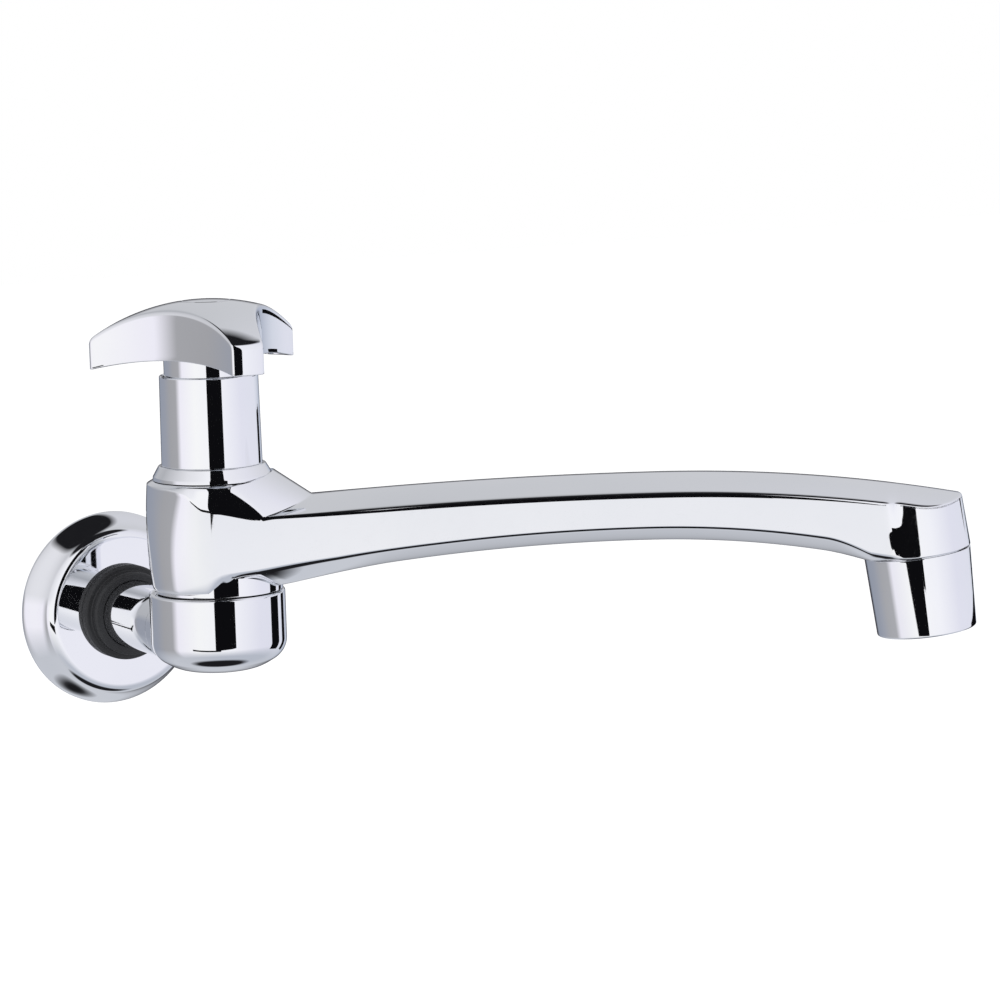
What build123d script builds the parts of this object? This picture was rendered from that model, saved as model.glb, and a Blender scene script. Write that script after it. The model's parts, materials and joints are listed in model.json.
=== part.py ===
from build123d import *
from math import cos, pi, radians, sin, sqrt, tan
import os

# A cold-water wall tap with a swivelling arched spout, in millimetres.
# +Z is up, the wall is the plane Y = 0 and the room lies towards -Y.
# The origin is where the inlet axis meets the wall. Heights named "_z" are
# measured from the inlet axis, and the swivel axis stands wall_to_axis in front
# of the wall.

# ---- where the tap stands -------------------------------------------------
wall_to_axis = 66.5            # wall face to swivel axis
rest_spout_angle = -33.0       # spout direction at rest, from +X about +Z
rest_handle_angle = 142.5      # direction of one handle arm at rest

# ---- fits -----------------------------------------------------------------
running_gap = 0.08             # radial clearance of shafts and swivel bores
thread_gap = 0.05              # radial clearance between mating threads
face_gap = 0.05                # axial clearance between stacked faces
loose_gap = 0.30               # clearance beside faces that slide past each other
past = 1.0                     # how far a cut runs past the face that it opens

# ---- inlet, neck and wall flange ------------------------------------------
inlet_thread_radius = 10.48    # G1/2 thread, major radius
inlet_thread_reach = 13.0      # thread behind the wall face
inlet_thread_chamfer = 1.0
thread_relief_width = 1.0      # groove at the wall, between the flange's and the wall's thread
thread_relief_depth = 0.9
inlet_bore_radius = 6.0
thread_beyond_flange = 1.8     # thread in front of the flange
neck_radius = 9.3
boss_radius = 9.9
boss_length = 24.5             # swivel axis to the back of the boss
boss_round = 1.6
flange_radius = 27.1
flange_edge = 0.8              # straight edge that stands on the wall
flange_shoulder_radius = 18.5  # where the rim turns over into the front face
flange_shoulder_round = 4.0
flange_depth = 9.6             # wall face to the flange's front
flange_rim_lean = 37.0         # lean of the flare at its rim, in degrees
flange_steepest = 70.0         # lean of the flare where it meets the shoulder, in degrees
flange_flare_reach = 3.6       # height of the flared rim
flange_wall = 1.5
flange_hub_radius = 13.6
flange_hub_back = 1.0          # hub's back face, in front of the wall
seal_outer_radius = 13.3
seal_step_radius = 11.6
seal_base_depth = 2.6
seal_step_depth = 3.0
seal_edge = 0.7

# ---- body cup and riser ---------------------------------------------------
cup_radius = 18.0
cup_bottom_z = -7.5
cup_top_z = 13.3
cup_bottom_round = 8.0
cup_top_round = 1.5
cup_wall = 2.6
riser_radius = 13.0
riser_below_collar = 0.1       # riser end below the collar's top
lower_chamber_radius = 9.0
seat_top_z = 22.9
seat_lip_height = 0.8
seat_thickness = 3.4
seat_bore_radius = 5.8
seat_lip_radius = 7.0
upper_chamber_radius = 9.0
port_radius = 3.2
port_count = 4
port_above_seat = 8.4
ring_groove_depth = 1.8
ring_groove_width = 3.2
lower_ring_rise = 3.6          # ring centre above the spout's lower face
upper_ring_drop = 4.6          # ring centre below the spout's upper face

# ---- swivel stack ---------------------------------------------------------
slip_washer_thickness = 0.8
slip_washer_radius = 15.4
barrel_height = 29.05
slip_ring_thickness = 0.5
slip_ring_radius = 15.2
collar_height = 3.25
collar_lower_radius = 15.8
collar_upper_radius = 13.7

# ---- spout ----------------------------------------------------------------
barrel_radius = 17.95          # at the barrel's widest
barrel_top_radius = 16.2
barrel_shoulder_radius = 17.3
barrel_shoulder_drop = 1.9
barrel_foot_radius = 17.1
barrel_lip_radius = 16.1
barrel_lip_rise = 1.5
barrel_chamber_radius = 15.2
barrel_land_length = 8.5       # length of each close-fitting bore land
spout_length = 185.0           # swivel axis to nozzle axis, at their joint
arm_half_width = 13.0          # at the ridge under the crown's apex
arm_draft = 3.2                # lean of each side, in degrees
arm_root_flare = 2.6           # extra half width at the swivel axis
arm_root_length = 48.0         # where the root's extra width has died away
crown_section_radius = 25.8    # across the crowned top
crown_height = 3.7             # rise of the crowned top above its ridges
crown_apex_x = 118.0
crown_apex_z = 41.7
crown_inner_radius = 1245.0    # arch between the housing and the apex
crown_outer_radius = 420.0     # arch between the apex and the nozzle
belly_apex_x = 115.0
belly_apex_z = 24.1
belly_inner_radius = 540.0
belly_outer_radius = 260.0
belly_corner = 5.5
ramp_end = 25.9                # where the ramp under the collar meets the crown
ramp_slope = 24.0              # degrees below level
channel_width = 20.0
channel_height = 9.5
channel_round = 4.0
channel_drop = 9.0             # crown line to the channel's centre line

# ---- nozzle and aerator ---------------------------------------------------
nozzle_joint_z = 19.3
nozzle_tilt = 6.35             # degrees that the nozzle leans outwards
nozzle_upper_radius = 14.0
nozzle_lower_radius = 13.1
nozzle_length = 21.3
nozzle_mouth_radius = 10.9
end_block_radius = 14.35       # spout end, at the nozzle joint
end_block_taper = 0.055        # radius lost for each millimetre upwards
nozzle_joint_gap = 0.25
spigot_radius = 12.0
spigot_length = 8.0
spigot_bore_radius = 9.8
gasket_thickness = 1.6
aerator_flange_thickness = 1.6
aerator_body_radius = 10.6
aerator_bore_radius = 9.2
aerator_length = 9.4
diffuser_thickness = 1.2
screen_thickness = 0.4
screen_spacing = 3.0
screen_hole_radius = 0.75
screen_hole_pitch = 2.6
screen_rim = 0.5               # least plain edge round the holes

# ---- bonnet and spindle ---------------------------------------------------
bonnet_thread_radius = 10.4
bonnet_thread_length = 12.0
bonnet_gasket_thickness = 0.8
bonnet_gasket_lip = 1.0        # gasket's reach beyond the hexagon's flats
bonnet_hex_flats = 20.8
bonnet_hex_height = 6.0
bonnet_neck_radius = 8.0
gland_bore_radius = 6.5
spindle_radius = 4.0
spindle_thread_radius = 5.6
spindle_thread_below = 8.0     # spindle thread under the sleeve's base
spindle_thread_above = 8.0
spindle_tip_radius = 4.9
spindle_tip_length = 6.0
spindle_socket_radius = 2.6
spindle_socket_depth = 9.0
spindle_drive = 6.0            # square that drives the handle
spindle_drive_length = 12.0
spindle_thread_pitch = 3.0
handle_turns = 1.5
packing_height = 3.0
packing_washer_thickness = 0.8
packing_floor = 15.2           # packing's underside above the sleeve's base
gland_nut_flats = 17.6
gland_nut_top = 2.0
web_thickness = 1.0            # the sleeve's inner web, under the gland nut

# ---- jumper valve ---------------------------------------------------------
jumper_stem_radius = 2.5
jumper_neck_radius = 4.2
jumper_disc_radius = 6.6
jumper_disc_thickness = 1.8
jumper_washer_radius = 6.4
jumper_washer_thickness = 2.8
jumper_tail_radius = 1.5
jumper_nut_flats = 5.6
jumper_nut_height = 2.2
jumper_end_gap = 1.0           # free space over the stem's end in the socket

# ---- sleeve and handle ----------------------------------------------------
sleeve_height = 23.8
sleeve_lower_radius = 13.3
sleeve_upper_radius = 13.0
sleeve_wall = 0.9
handle_lift = 2.1              # sleeve's top to the tips' lower edge
handle_reach = 30.6            # axis to each arm's tip
handle_tip_half_width = 4.3
handle_waist = 16.2            # axis to the middle of each hollow side
handle_height = 17.6           # tips' lower edge to the dome's apex
handle_dome_radius = 53.6
handle_arch = 3.3              # rise of the lower edge between the tips
handle_nose = 0.5              # bulge of each arm's end face
handle_wall = 2.0
handle_tip_wall = 1.2          # side walls of the arms' ends
handle_hub_radius = 11.7
handle_hub_overlap = 1.4       # hub's depth inside the sleeve
handle_boss_radius = 7.6
screw_radius = 2.0
screw_length = 12.0
screw_head_radius = 3.8
screw_head_height = 2.6
screw_slot_width = 1.0
screw_slot_depth = 1.2
cap_radius = 6.4
cap_depth = 2.6

# ---- levels that follow from the sizes above ------------------------------
spout_bottom_z = cup_top_z + slip_washer_thickness + face_gap
spout_top_z = spout_bottom_z + barrel_height
collar_bottom_z = spout_top_z + face_gap + slip_ring_thickness
sleeve_bottom_z = collar_bottom_z + collar_height
sleeve_top_z = sleeve_bottom_z + sleeve_height
riser_top_z = sleeve_bottom_z - riser_below_collar
bonnet_flange_z = riser_top_z + bonnet_gasket_thickness
bonnet_hex_top_z = bonnet_flange_z + bonnet_hex_height
web_bottom_z = bonnet_hex_top_z + face_gap
gland_nut_bottom_z = web_bottom_z + web_thickness + face_gap
packing_bottom_z = sleeve_bottom_z + packing_floor
packing_washer_z = packing_bottom_z + packing_height
gland_ceiling_z = packing_washer_z + packing_washer_thickness
gland_nut_top_z = gland_ceiling_z + gland_nut_top
handle_tip_z = sleeve_top_z + handle_lift
handle_apex_z = handle_tip_z + handle_height
handle_hub_z = sleeve_top_z - handle_hub_overlap
spindle_tip_z = sleeve_bottom_z - spindle_thread_below - spindle_tip_length
spindle_thread_z = sleeve_bottom_z - spindle_thread_below
spindle_shoulder_z = sleeve_bottom_z + spindle_thread_above
drive_bottom_z = handle_hub_z
spindle_top_z = drive_bottom_z + spindle_drive_length
jumper_washer_z = seat_top_z + 2 * face_gap
jumper_disc_z = jumper_washer_z + jumper_washer_thickness
jumper_neck_z = jumper_disc_z + jumper_disc_thickness
thread_front = flange_depth + thread_beyond_flange
spindle_travel = spindle_thread_pitch * handle_turns


# ---- shared shapes --------------------------------------------------------
def turned(*edges):
    """Solid of revolution about Z from an (r, z) outline of joined edges."""
    return revolve(Plane.XZ * make_face(list(edges)), Axis.Z)


def turned_outline(*points):
    """Solid of revolution about Z from straight (r, z) points."""
    return turned(Polyline(*points, close=True))


def ring(inner, outer, bottom, top):
    """Flat washer or tube about Z."""
    return turned_outline((inner, bottom), (outer, bottom), (outer, top), (inner, top))


def rod(radius, bottom, top):
    """Round bar about Z."""
    return Pos(0, 0, bottom) * Cylinder(radius, top - bottom, align=(Align.CENTER, Align.CENTER, Align.MIN))


def hexagon_bar(flats, bottom, top):
    """Hexagonal bar about Z."""
    face = RegularPolygon(flats / 2, 6, major_radius=False)
    return extrude(Pos(0, 0, bottom) * face, top - bottom)


def on_swivel_axis(shape):
    """Place a piece that was drawn about Z on the swivel axis."""
    return Pos(0, -wall_to_axis, 0) * shape


def on_inlet_axis(shape):
    """Turn a piece drawn about Z so that its Z runs from the wall into the room."""
    return Rot(90, 0, 0) * shape


def on_spout(shape):
    """Turn a piece drawn with the spout along +X to the spout's rest direction."""
    return on_swivel_axis(Rot(0, 0, rest_spout_angle) * shape)


def on_nozzle(shape):
    """Place a piece drawn with Z = 0 at the nozzle joint and -Z towards the mouth."""
    return on_spout(Pos(spout_length, 0, nozzle_joint_z) * Rot(0, -nozzle_tilt, 0) * shape)


# ---- wall flange and neck seal --------------------------------------------
def wall_flange():
    """Domed cover with a flared rim, a rounded shoulder and a threaded hub."""
    shoulder_centre = flange_depth - flange_shoulder_round
    shoulder_rim = flange_shoulder_radius + flange_shoulder_round
    steep = radians(flange_steepest)
    lean = radians(flange_rim_lean)
    turn = (
        flange_shoulder_radius + flange_shoulder_round * sin(steep),
        shoulder_centre + flange_shoulder_round * cos(steep),
    )
    rim = (flange_radius, flange_edge)
    crest = (flange_shoulder_radius, flange_depth)
    flare = Spline(rim, turn, tangents=((-cos(lean), sin(lean)), (-cos(steep), sin(steep))))
    shoulder = ThreePointArc(
        turn,
        (
            flange_shoulder_radius + flange_shoulder_round * sin(steep / 2),
            shoulder_centre + flange_shoulder_round * cos(steep / 2),
        ),
        crest,
    )
    solid = turned(
        flare,
        shoulder,
        Polyline(crest, (0, flange_depth), (0, 0), (flange_radius, 0), rim),
    )
    hollow_radius = shoulder_rim - flange_wall
    hollow = ring(flange_hub_radius, hollow_radius, 0, flange_depth - flange_wall)
    hollow += turned_outline(
        (hollow_radius, 0),
        (flange_radius - 2 * flange_wall, 0),
        (hollow_radius, flange_flare_reach - flange_wall),
    )
    hub_relief = rod(flange_hub_radius, 0, flange_hub_back)
    bore = rod(inlet_thread_radius + thread_gap, 0, flange_depth)
    return on_inlet_axis(solid - hollow - hub_relief - bore)


def neck_seal():
    """Stepped rubber ring that closes the gap between the flange and the neck."""
    back = flange_depth + face_gap
    base_front = back + seal_base_depth
    front = base_front + seal_step_depth
    wide_bore = inlet_thread_radius + thread_gap
    bore = neck_radius + face_gap
    return on_inlet_axis(
        turned_outline(
            (wide_bore, back),
            (seal_outer_radius, back),
            (seal_outer_radius, base_front - seal_edge),
            (seal_outer_radius - seal_edge, base_front),
            (seal_step_radius, base_front),
            (seal_step_radius, front - seal_edge),
            (seal_step_radius - seal_edge, front),
            (bore, front),
            (bore, base_front),
            (wide_bore, base_front),
        )
    )


# ---- valve body -----------------------------------------------------------
def valve_body():
    """Cast body: cup, boss, neck and inlet thread, with the riser and its seat."""
    corner_centre = (cup_radius - cup_bottom_round, cup_bottom_z + cup_bottom_round)
    half = cup_bottom_round * sqrt(0.5)
    cup = turned(
        Line((0, cup_bottom_z), (corner_centre[0], cup_bottom_z)),
        ThreePointArc(
            (corner_centre[0], cup_bottom_z),
            (corner_centre[0] + half, corner_centre[1] - half),
            (cup_radius, corner_centre[1]),
        ),
        Polyline(
            (cup_radius, corner_centre[1]),
            (cup_radius, cup_top_z - cup_top_round),
            (cup_radius - cup_top_round, cup_top_z),
            (0, cup_top_z),
            (0, cup_bottom_z),
        ),
    )
    boss = fillet(
        rod(boss_radius, 0, boss_length).edges().filter_by(GeomType.CIRCLE).group_by(Axis.Z)[-1],
        boss_round,
    )
    boss = Rot(-90, 0, 0) * boss
    riser = rod(riser_radius, cup_top_z - cup_wall, riser_top_z)
    casting = on_swivel_axis(cup + boss + riser)
    neck = on_inlet_axis(rod(neck_radius, 0, wall_to_axis))
    thread = chamfer(
        rod(inlet_thread_radius, -inlet_thread_reach, thread_front)
        .edges()
        .filter_by(GeomType.CIRCLE)
        .group_by(Axis.Z)[0],
        inlet_thread_chamfer,
    )
    thread -= ring(
        inlet_thread_radius - thread_relief_depth, inlet_thread_radius + past, 0, thread_relief_width
    )
    casting += neck
    casting += on_inlet_axis(thread)

    seat_bottom = seat_top_z - seat_thickness
    hollow = rod(lower_chamber_radius, cup_bottom_z + cup_wall, seat_bottom)
    hollow += rod(seat_bore_radius, seat_bottom, seat_top_z)
    hollow += rod(upper_chamber_radius, seat_top_z, riser_top_z)
    hollow += ring(seat_lip_radius, upper_chamber_radius, seat_top_z - seat_lip_height, seat_top_z)
    hollow += rod(bonnet_thread_radius + thread_gap, riser_top_z - bonnet_thread_length - past, riser_top_z)
    port = rod(port_radius, upper_chamber_radius - past, riser_radius + past)
    port = Pos(0, 0, seat_top_z + port_above_seat) * Rot(0, 90, 0) * port
    for index in range(port_count):
        hollow += Rot(0, 0, 360 * index / port_count) * port
    for centre in (lower_ring_z(), upper_ring_z()):
        hollow += ring(
            riser_radius - ring_groove_depth,
            riser_radius + past,
            centre - ring_groove_width / 2,
            centre + ring_groove_width / 2,
        )
    inlet = on_inlet_axis(rod(inlet_bore_radius, -inlet_thread_reach, wall_to_axis))
    return casting - on_swivel_axis(hollow) - inlet


def lower_ring_z():
    """Centre height of the lower seal ring on the riser."""
    return spout_bottom_z + lower_ring_rise


def upper_ring_z():
    """Centre height of the upper seal ring on the riser."""
    return spout_top_z - upper_ring_drop


def spout_seal(centre):
    """Seal ring that fills one groove of the riser."""
    half = ring_groove_width / 2 - face_gap
    inner = riser_radius - ring_groove_depth
    return on_swivel_axis(ring(inner, riser_radius, centre - half, centre + half))


def slip_washer():
    """Plastic washer between the cup and the spout's foot."""
    bore = riser_radius + face_gap
    top = cup_top_z + slip_washer_thickness
    return on_swivel_axis(ring(bore, slip_washer_radius, cup_top_z, top))


def slip_ring():
    """Thin plastic ring between the spout's top and the collar."""
    bore = riser_radius + face_gap
    bottom = collar_bottom_z - slip_ring_thickness
    return on_swivel_axis(ring(bore, slip_ring_radius, bottom, collar_bottom_z))


def retaining_collar():
    """Tapered ring nut that holds the spout down on the body."""
    bore = riser_radius + thread_gap
    return on_swivel_axis(
        turned_outline(
            (bore, collar_bottom_z),
            (collar_lower_radius, collar_bottom_z),
            (collar_upper_radius, sleeve_bottom_z),
            (bore, sleeve_bottom_z),
        )
    )


# ---- spout ----------------------------------------------------------------
def arch_point(x, apex_x, apex_z, radius):
    """Point of an arch at a distance along the spout, in its middle plane."""
    return (x, 0, apex_z - radius + sqrt(radius**2 - (x - apex_x) ** 2))


def arch(start, end, apex_x, apex_z, inner_radius, outer_radius):
    """Two arcs that meet level at the arch's apex."""
    inner = (apex_x + start) / 2
    outer = (apex_x + end) / 2
    return [
        ThreePointArc(
            arch_point(start, apex_x, apex_z, inner_radius),
            arch_point(inner, apex_x, apex_z, inner_radius),
            (apex_x, 0, apex_z),
        ),
        ThreePointArc(
            (apex_x, 0, apex_z),
            arch_point(outer, apex_x, apex_z, outer_radius),
            arch_point(end, apex_x, apex_z, outer_radius),
        ),
    ]


def crown_z(x):
    """Height of the spout's crowned top on its centre line."""
    radius = crown_inner_radius if x < crown_apex_x else crown_outer_radius
    return arch_point(x, crown_apex_x, crown_apex_z, radius)[2]


def crown_profile(half):
    """Cross-section under the crown, with its highest point at the origin."""
    drop = crown_section_radius - sqrt(crown_section_radius**2 - half**2)
    depth = crown_apex_z
    return make_face(
        [
            ThreePointArc((-half, -drop), (0, 0), (half, -drop)),
            Polyline((half, -drop), (half, -depth), (-half, -depth), (-half, -drop)),
        ]
    )


def under_crown():
    """Space under the arched crown, from the barrel to beyond the spout's end."""
    end = spout_length + 2 * end_block_radius
    path = Wire(arch(0, end, crown_apex_x, crown_apex_z, crown_inner_radius, crown_outer_radius))
    start = Plane(origin=path @ 0, x_dir=(0, 1, 0), z_dir=path % 0)
    return sweep(start * crown_profile(arm_half_width + arm_root_flare + 2 * past), path=path)


def under_ramp():
    """Space under the ramp that falls from below the collar to the crown."""
    slope = radians(ramp_slope)
    top = (0, 0, crown_z(ramp_end) + ramp_end * tan(slope))
    start = Plane(origin=top, x_dir=(0, 1, 0), z_dir=(cos(slope), 0, -sin(slope)))
    profile = start * crown_profile(arm_half_width + arm_root_flare + past)
    return extrude(profile, 2 * ramp_end)


def arm():
    """Drafted arm with spreading root, arched underside and round lower edges."""
    ridge_z = crown_apex_z - crown_height
    half = arm_half_width + ridge_z * tan(radians(arm_draft))
    root = arm_root_length
    root_radius = (root**2 + arm_root_flare**2) / (2 * arm_root_flare)
    bend = (root / 2, half + root_radius - sqrt(root_radius**2 - root**2 / 4))
    plan = make_face(
        [
            ThreePointArc((0, -half - arm_root_flare), (bend[0], -bend[1]), (root, -half)),
            Polyline((root, -half), (spout_length, -half), (spout_length, half), (root, half)),
            ThreePointArc((root, half), bend, (0, half + arm_root_flare)),
            Line((0, half + arm_root_flare), (0, -half - arm_root_flare)),
        ]
    )
    body = extrude(plan, spout_top_z, taper=arm_draft)
    belly = arch(0, spout_length, belly_apex_x, belly_apex_z, belly_inner_radius, belly_outer_radius)
    first = belly[0] @ 0
    last = belly[1] @ 1
    corners = Polyline(last, (spout_length, 0, -past), (0, 0, -past), first)
    below = extrude(make_face(belly + [corners]), 2 * arm_half_width, both=True)
    body -= below
    edges = [edge for edge in body.edges() if is_belly_edge(edge)]
    return fillet(edges, belly_corner)


def is_belly_edge(edge):
    """Whether an edge runs along the arm between its underside and a side."""
    middle = edge @ 0.5
    along = abs((edge % 0.5).X) > sqrt(0.5)
    return along and middle.Z < belly_apex_z + past and abs(middle.Y) > arm_half_width


def barrel():
    """Bulged housing of the spout, round about the swivel axis."""
    top = (barrel_top_radius, spout_top_z)
    shoulder = (barrel_shoulder_radius, spout_top_z - barrel_shoulder_drop)
    foot = (barrel_foot_radius, spout_bottom_z + barrel_lip_rise)
    lip = (barrel_lip_radius, spout_bottom_z)
    middle = (barrel_radius, (shoulder[1] + foot[1]) / 2)
    return turned(
        Polyline((0, spout_top_z), top, shoulder),
        ThreePointArc(shoulder, middle, foot),
        Polyline(foot, lip, (0, spout_bottom_z), (0, spout_top_z)),
    )


def end_block():
    """Round end of the spout, leaning with the nozzle."""
    height = crown_apex_z - nozzle_joint_z + crown_height
    upper = end_block_radius - end_block_taper * height
    return turned_outline((0, 0), (end_block_radius, 0), (upper, height), (0, height))


def water_channel():
    """Passage along the arm, from the barrel's chamber to over the nozzle."""
    start = barrel_chamber_radius / 2
    middle = crown_apex_x
    path = ThreePointArc(
        (start, 0, crown_z(start) - channel_drop),
        (middle, 0, crown_z(middle) - channel_drop),
        (spout_length, 0, crown_z(spout_length) - channel_drop),
    )
    opening = RectangleRounded(channel_width, channel_height, channel_round)
    plane = Plane(origin=path @ 0, x_dir=(0, 1, 0), z_dir=path % 0)
    return sweep(plane * opening, path=path)


def spout():
    """Swivelling spout: barrel, ramp, arched arm and round end with its spigot."""
    lean = Pos(spout_length, 0, nozzle_joint_z) * Rot(0, -nozzle_tilt, 0)
    limb = arm() - lean * rod(2 * end_block_radius, -2 * nozzle_length, 0)
    limb += lean * end_block()
    limb &= under_crown() + under_ramp()
    limb &= Pos(spout_length, 0, 0) * rod(2 * spout_length, spout_bottom_z, spout_top_z)
    body = barrel() + limb
    spigot = rod(spigot_radius, -spigot_length, past)
    well = rod(spigot_bore_radius, -spigot_length, crown_z(spout_length) - channel_drop - nozzle_joint_z)
    body += lean * spigot
    body -= lean * well
    body -= water_channel()
    body -= rod(riser_radius + running_gap, spout_bottom_z - past, spout_top_z + past)
    body -= rod(
        barrel_chamber_radius,
        spout_bottom_z + barrel_land_length,
        spout_top_z - barrel_land_length,
    )
    return on_spout(body)


# ---- nozzle ---------------------------------------------------------------
def nozzle_radius(drop):
    """Outer radius of the nozzle, at a distance below its joint."""
    return nozzle_upper_radius - (nozzle_upper_radius - nozzle_lower_radius) * drop / nozzle_length


def aerator_top():
    """Distance from the joint down to the aerator's flange."""
    return spigot_length + face_gap + gasket_thickness


def nozzle_shell():
    """Tapered cap that screws on the spigot and carries the aerator."""
    ledge = aerator_top() + aerator_flange_thickness
    bore = spigot_radius + thread_gap
    return on_nozzle(
        turned_outline(
            (bore, -nozzle_joint_gap),
            (nozzle_radius(nozzle_joint_gap), -nozzle_joint_gap),
            (nozzle_lower_radius, -nozzle_length),
            (nozzle_mouth_radius, -nozzle_length),
            (nozzle_mouth_radius, -ledge),
            (bore, -ledge),
        )
    )


def aerator_gasket():
    """Rubber ring between the spigot and the aerator."""
    top = spigot_length + face_gap
    return on_nozzle(ring(spigot_bore_radius, spigot_radius, -top - gasket_thickness, -top))


def aerator_housing():
    """Plastic cartridge that hangs from its flange inside the nozzle."""
    top = aerator_top()
    flange = ring(aerator_bore_radius, spigot_radius, -top - aerator_flange_thickness, -top)
    body = ring(aerator_bore_radius, aerator_body_radius, -top - aerator_length, -top)
    return on_nozzle(flange + body)


def pierced_disc(top, thickness):
    """Disc that fills the aerator's bore, with rings of holes."""
    disc = rod(aerator_bore_radius, top - thickness, top)
    rings = int((aerator_bore_radius - screen_hole_radius - screen_rim) / screen_hole_pitch)
    spots = [(0, 0)]
    for index in range(1, rings + 1):
        radius = index * screen_hole_pitch
        count = 6 * index
        spots += [
            (radius * cos(2 * pi * turn / count), radius * sin(2 * pi * turn / count))
            for turn in range(count)
        ]
    holes = Sketch() + [Pos(x, y) * Circle(screen_hole_radius) for x, y in spots]
    return disc - extrude(Pos(0, 0, top - thickness - past) * holes, thickness + 2 * past)


def aerator_diffuser():
    """Perforated plate at the top of the cartridge."""
    return on_nozzle(pierced_disc(-aerator_top(), diffuser_thickness))


def aerator_screen(number):
    """One of the screens below the diffuser."""
    top = -aerator_top() - diffuser_thickness - number * screen_spacing
    return on_nozzle(pierced_disc(top + screen_thickness, screen_thickness))


# ---- bonnet, gland and sleeve ---------------------------------------------
def bonnet_gasket():
    """Fibre ring between the riser and the bonnet's hexagon."""
    outer = bonnet_hex_flats / 2 + bonnet_gasket_lip
    return on_swivel_axis(ring(bonnet_thread_radius + thread_gap, outer, riser_top_z, bonnet_flange_z))


def bonnet():
    """Headwork that screws into the riser and carries the spindle."""
    thread_bottom = riser_top_z - bonnet_thread_length
    neck_top = gland_ceiling_z - loose_gap
    shape = rod(bonnet_thread_radius, thread_bottom, bonnet_flange_z)
    shape += hexagon_bar(bonnet_hex_flats, bonnet_flange_z, bonnet_hex_top_z)
    shape += rod(bonnet_neck_radius, bonnet_hex_top_z, neck_top)
    thread_top = spindle_shoulder_z + spindle_travel + past
    shape -= rod(spindle_thread_radius + running_gap, thread_bottom, thread_top)
    shape -= rod(spindle_radius + running_gap, spindle_shoulder_z, neck_top)
    shape -= rod(gland_bore_radius + face_gap, packing_bottom_z, neck_top)
    return on_swivel_axis(shape)


def gland_packing():
    """Packing that seals the spindle."""
    inner = spindle_radius + running_gap
    return on_swivel_axis(ring(inner, gland_bore_radius, packing_bottom_z, packing_washer_z))


def packing_washer():
    """Brass washer that the gland nut presses on the packing."""
    inner = spindle_radius + running_gap
    top = gland_ceiling_z - face_gap
    return on_swivel_axis(ring(inner, gland_bore_radius, packing_washer_z, top))


def gland_nut():
    """Cap nut that closes the gland and clamps the sleeve's web."""
    shape = hexagon_bar(gland_nut_flats, gland_nut_bottom_z, gland_nut_top_z)
    shape -= rod(bonnet_neck_radius + thread_gap, gland_nut_bottom_z, gland_ceiling_z)
    shape -= rod(spindle_radius + running_gap, gland_ceiling_z, gland_nut_top_z)
    return on_swivel_axis(shape)


def sleeve_radius(z):
    """Outer radius of the tapered sleeve at a height."""
    share = (z - sleeve_bottom_z) / sleeve_height
    return sleeve_lower_radius + (sleeve_upper_radius - sleeve_lower_radius) * share


def sleeve():
    """Slightly tapered cover over the bonnet, held by its inner web."""
    web_bore = bonnet_neck_radius + thread_gap
    web_top_z = web_bottom_z + web_thickness
    return on_swivel_axis(
        turned_outline(
            (sleeve_lower_radius - sleeve_wall, sleeve_bottom_z),
            (sleeve_lower_radius, sleeve_bottom_z),
            (sleeve_upper_radius, sleeve_top_z),
            (sleeve_upper_radius - sleeve_wall, sleeve_top_z),
            (sleeve_radius(web_top_z) - sleeve_wall, web_top_z),
            (web_bore, web_top_z),
            (web_bore, web_bottom_z),
            (sleeve_radius(web_bottom_z) - sleeve_wall, web_bottom_z),
        )
    )


# ---- spindle and jumper valve ---------------------------------------------
def spindle():
    """Rising spindle: tip with a socket, thread, stem and square drive."""
    shape = rod(spindle_tip_radius, spindle_tip_z, spindle_thread_z)
    shape += rod(spindle_thread_radius, spindle_thread_z, spindle_shoulder_z)
    shape += rod(spindle_radius, spindle_shoulder_z, drive_bottom_z)
    square = extrude(Rectangle(spindle_drive, spindle_drive), spindle_drive_length)
    drive = square & rod(spindle_radius, 0, spindle_drive_length)
    shape += Pos(0, 0, drive_bottom_z) * Rot(0, 0, rest_handle_angle) * drive
    shape -= rod(spindle_socket_radius, spindle_tip_z, spindle_tip_z + spindle_socket_depth)
    shape -= rod(screw_radius + thread_gap, screw_bottom_z() - past, spindle_top_z)
    return on_swivel_axis(shape)


def jumper_valve():
    """Valve stem with its disc, held loosely in the spindle's socket."""
    stem_top = spindle_tip_z + spindle_socket_depth - jumper_end_gap
    shape = rod(jumper_disc_radius, jumper_disc_z, jumper_neck_z)
    shape += rod(jumper_neck_radius, jumper_neck_z, spindle_tip_z - face_gap)
    shape += rod(jumper_stem_radius, jumper_neck_z, stem_top)
    shape += rod(jumper_tail_radius, jumper_washer_z - jumper_nut_height, jumper_disc_z)
    return on_swivel_axis(shape)


def jumper_washer():
    """Rubber washer that closes on the seat."""
    bore = jumper_tail_radius + face_gap
    return on_swivel_axis(ring(bore, jumper_washer_radius, jumper_washer_z, jumper_disc_z))


def jumper_nut():
    """Small nut that holds the rubber washer."""
    top = jumper_washer_z
    shape = hexagon_bar(jumper_nut_flats, top - jumper_nut_height, top)
    return on_swivel_axis(shape - rod(jumper_tail_radius + thread_gap, top - jumper_nut_height, top))


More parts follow.
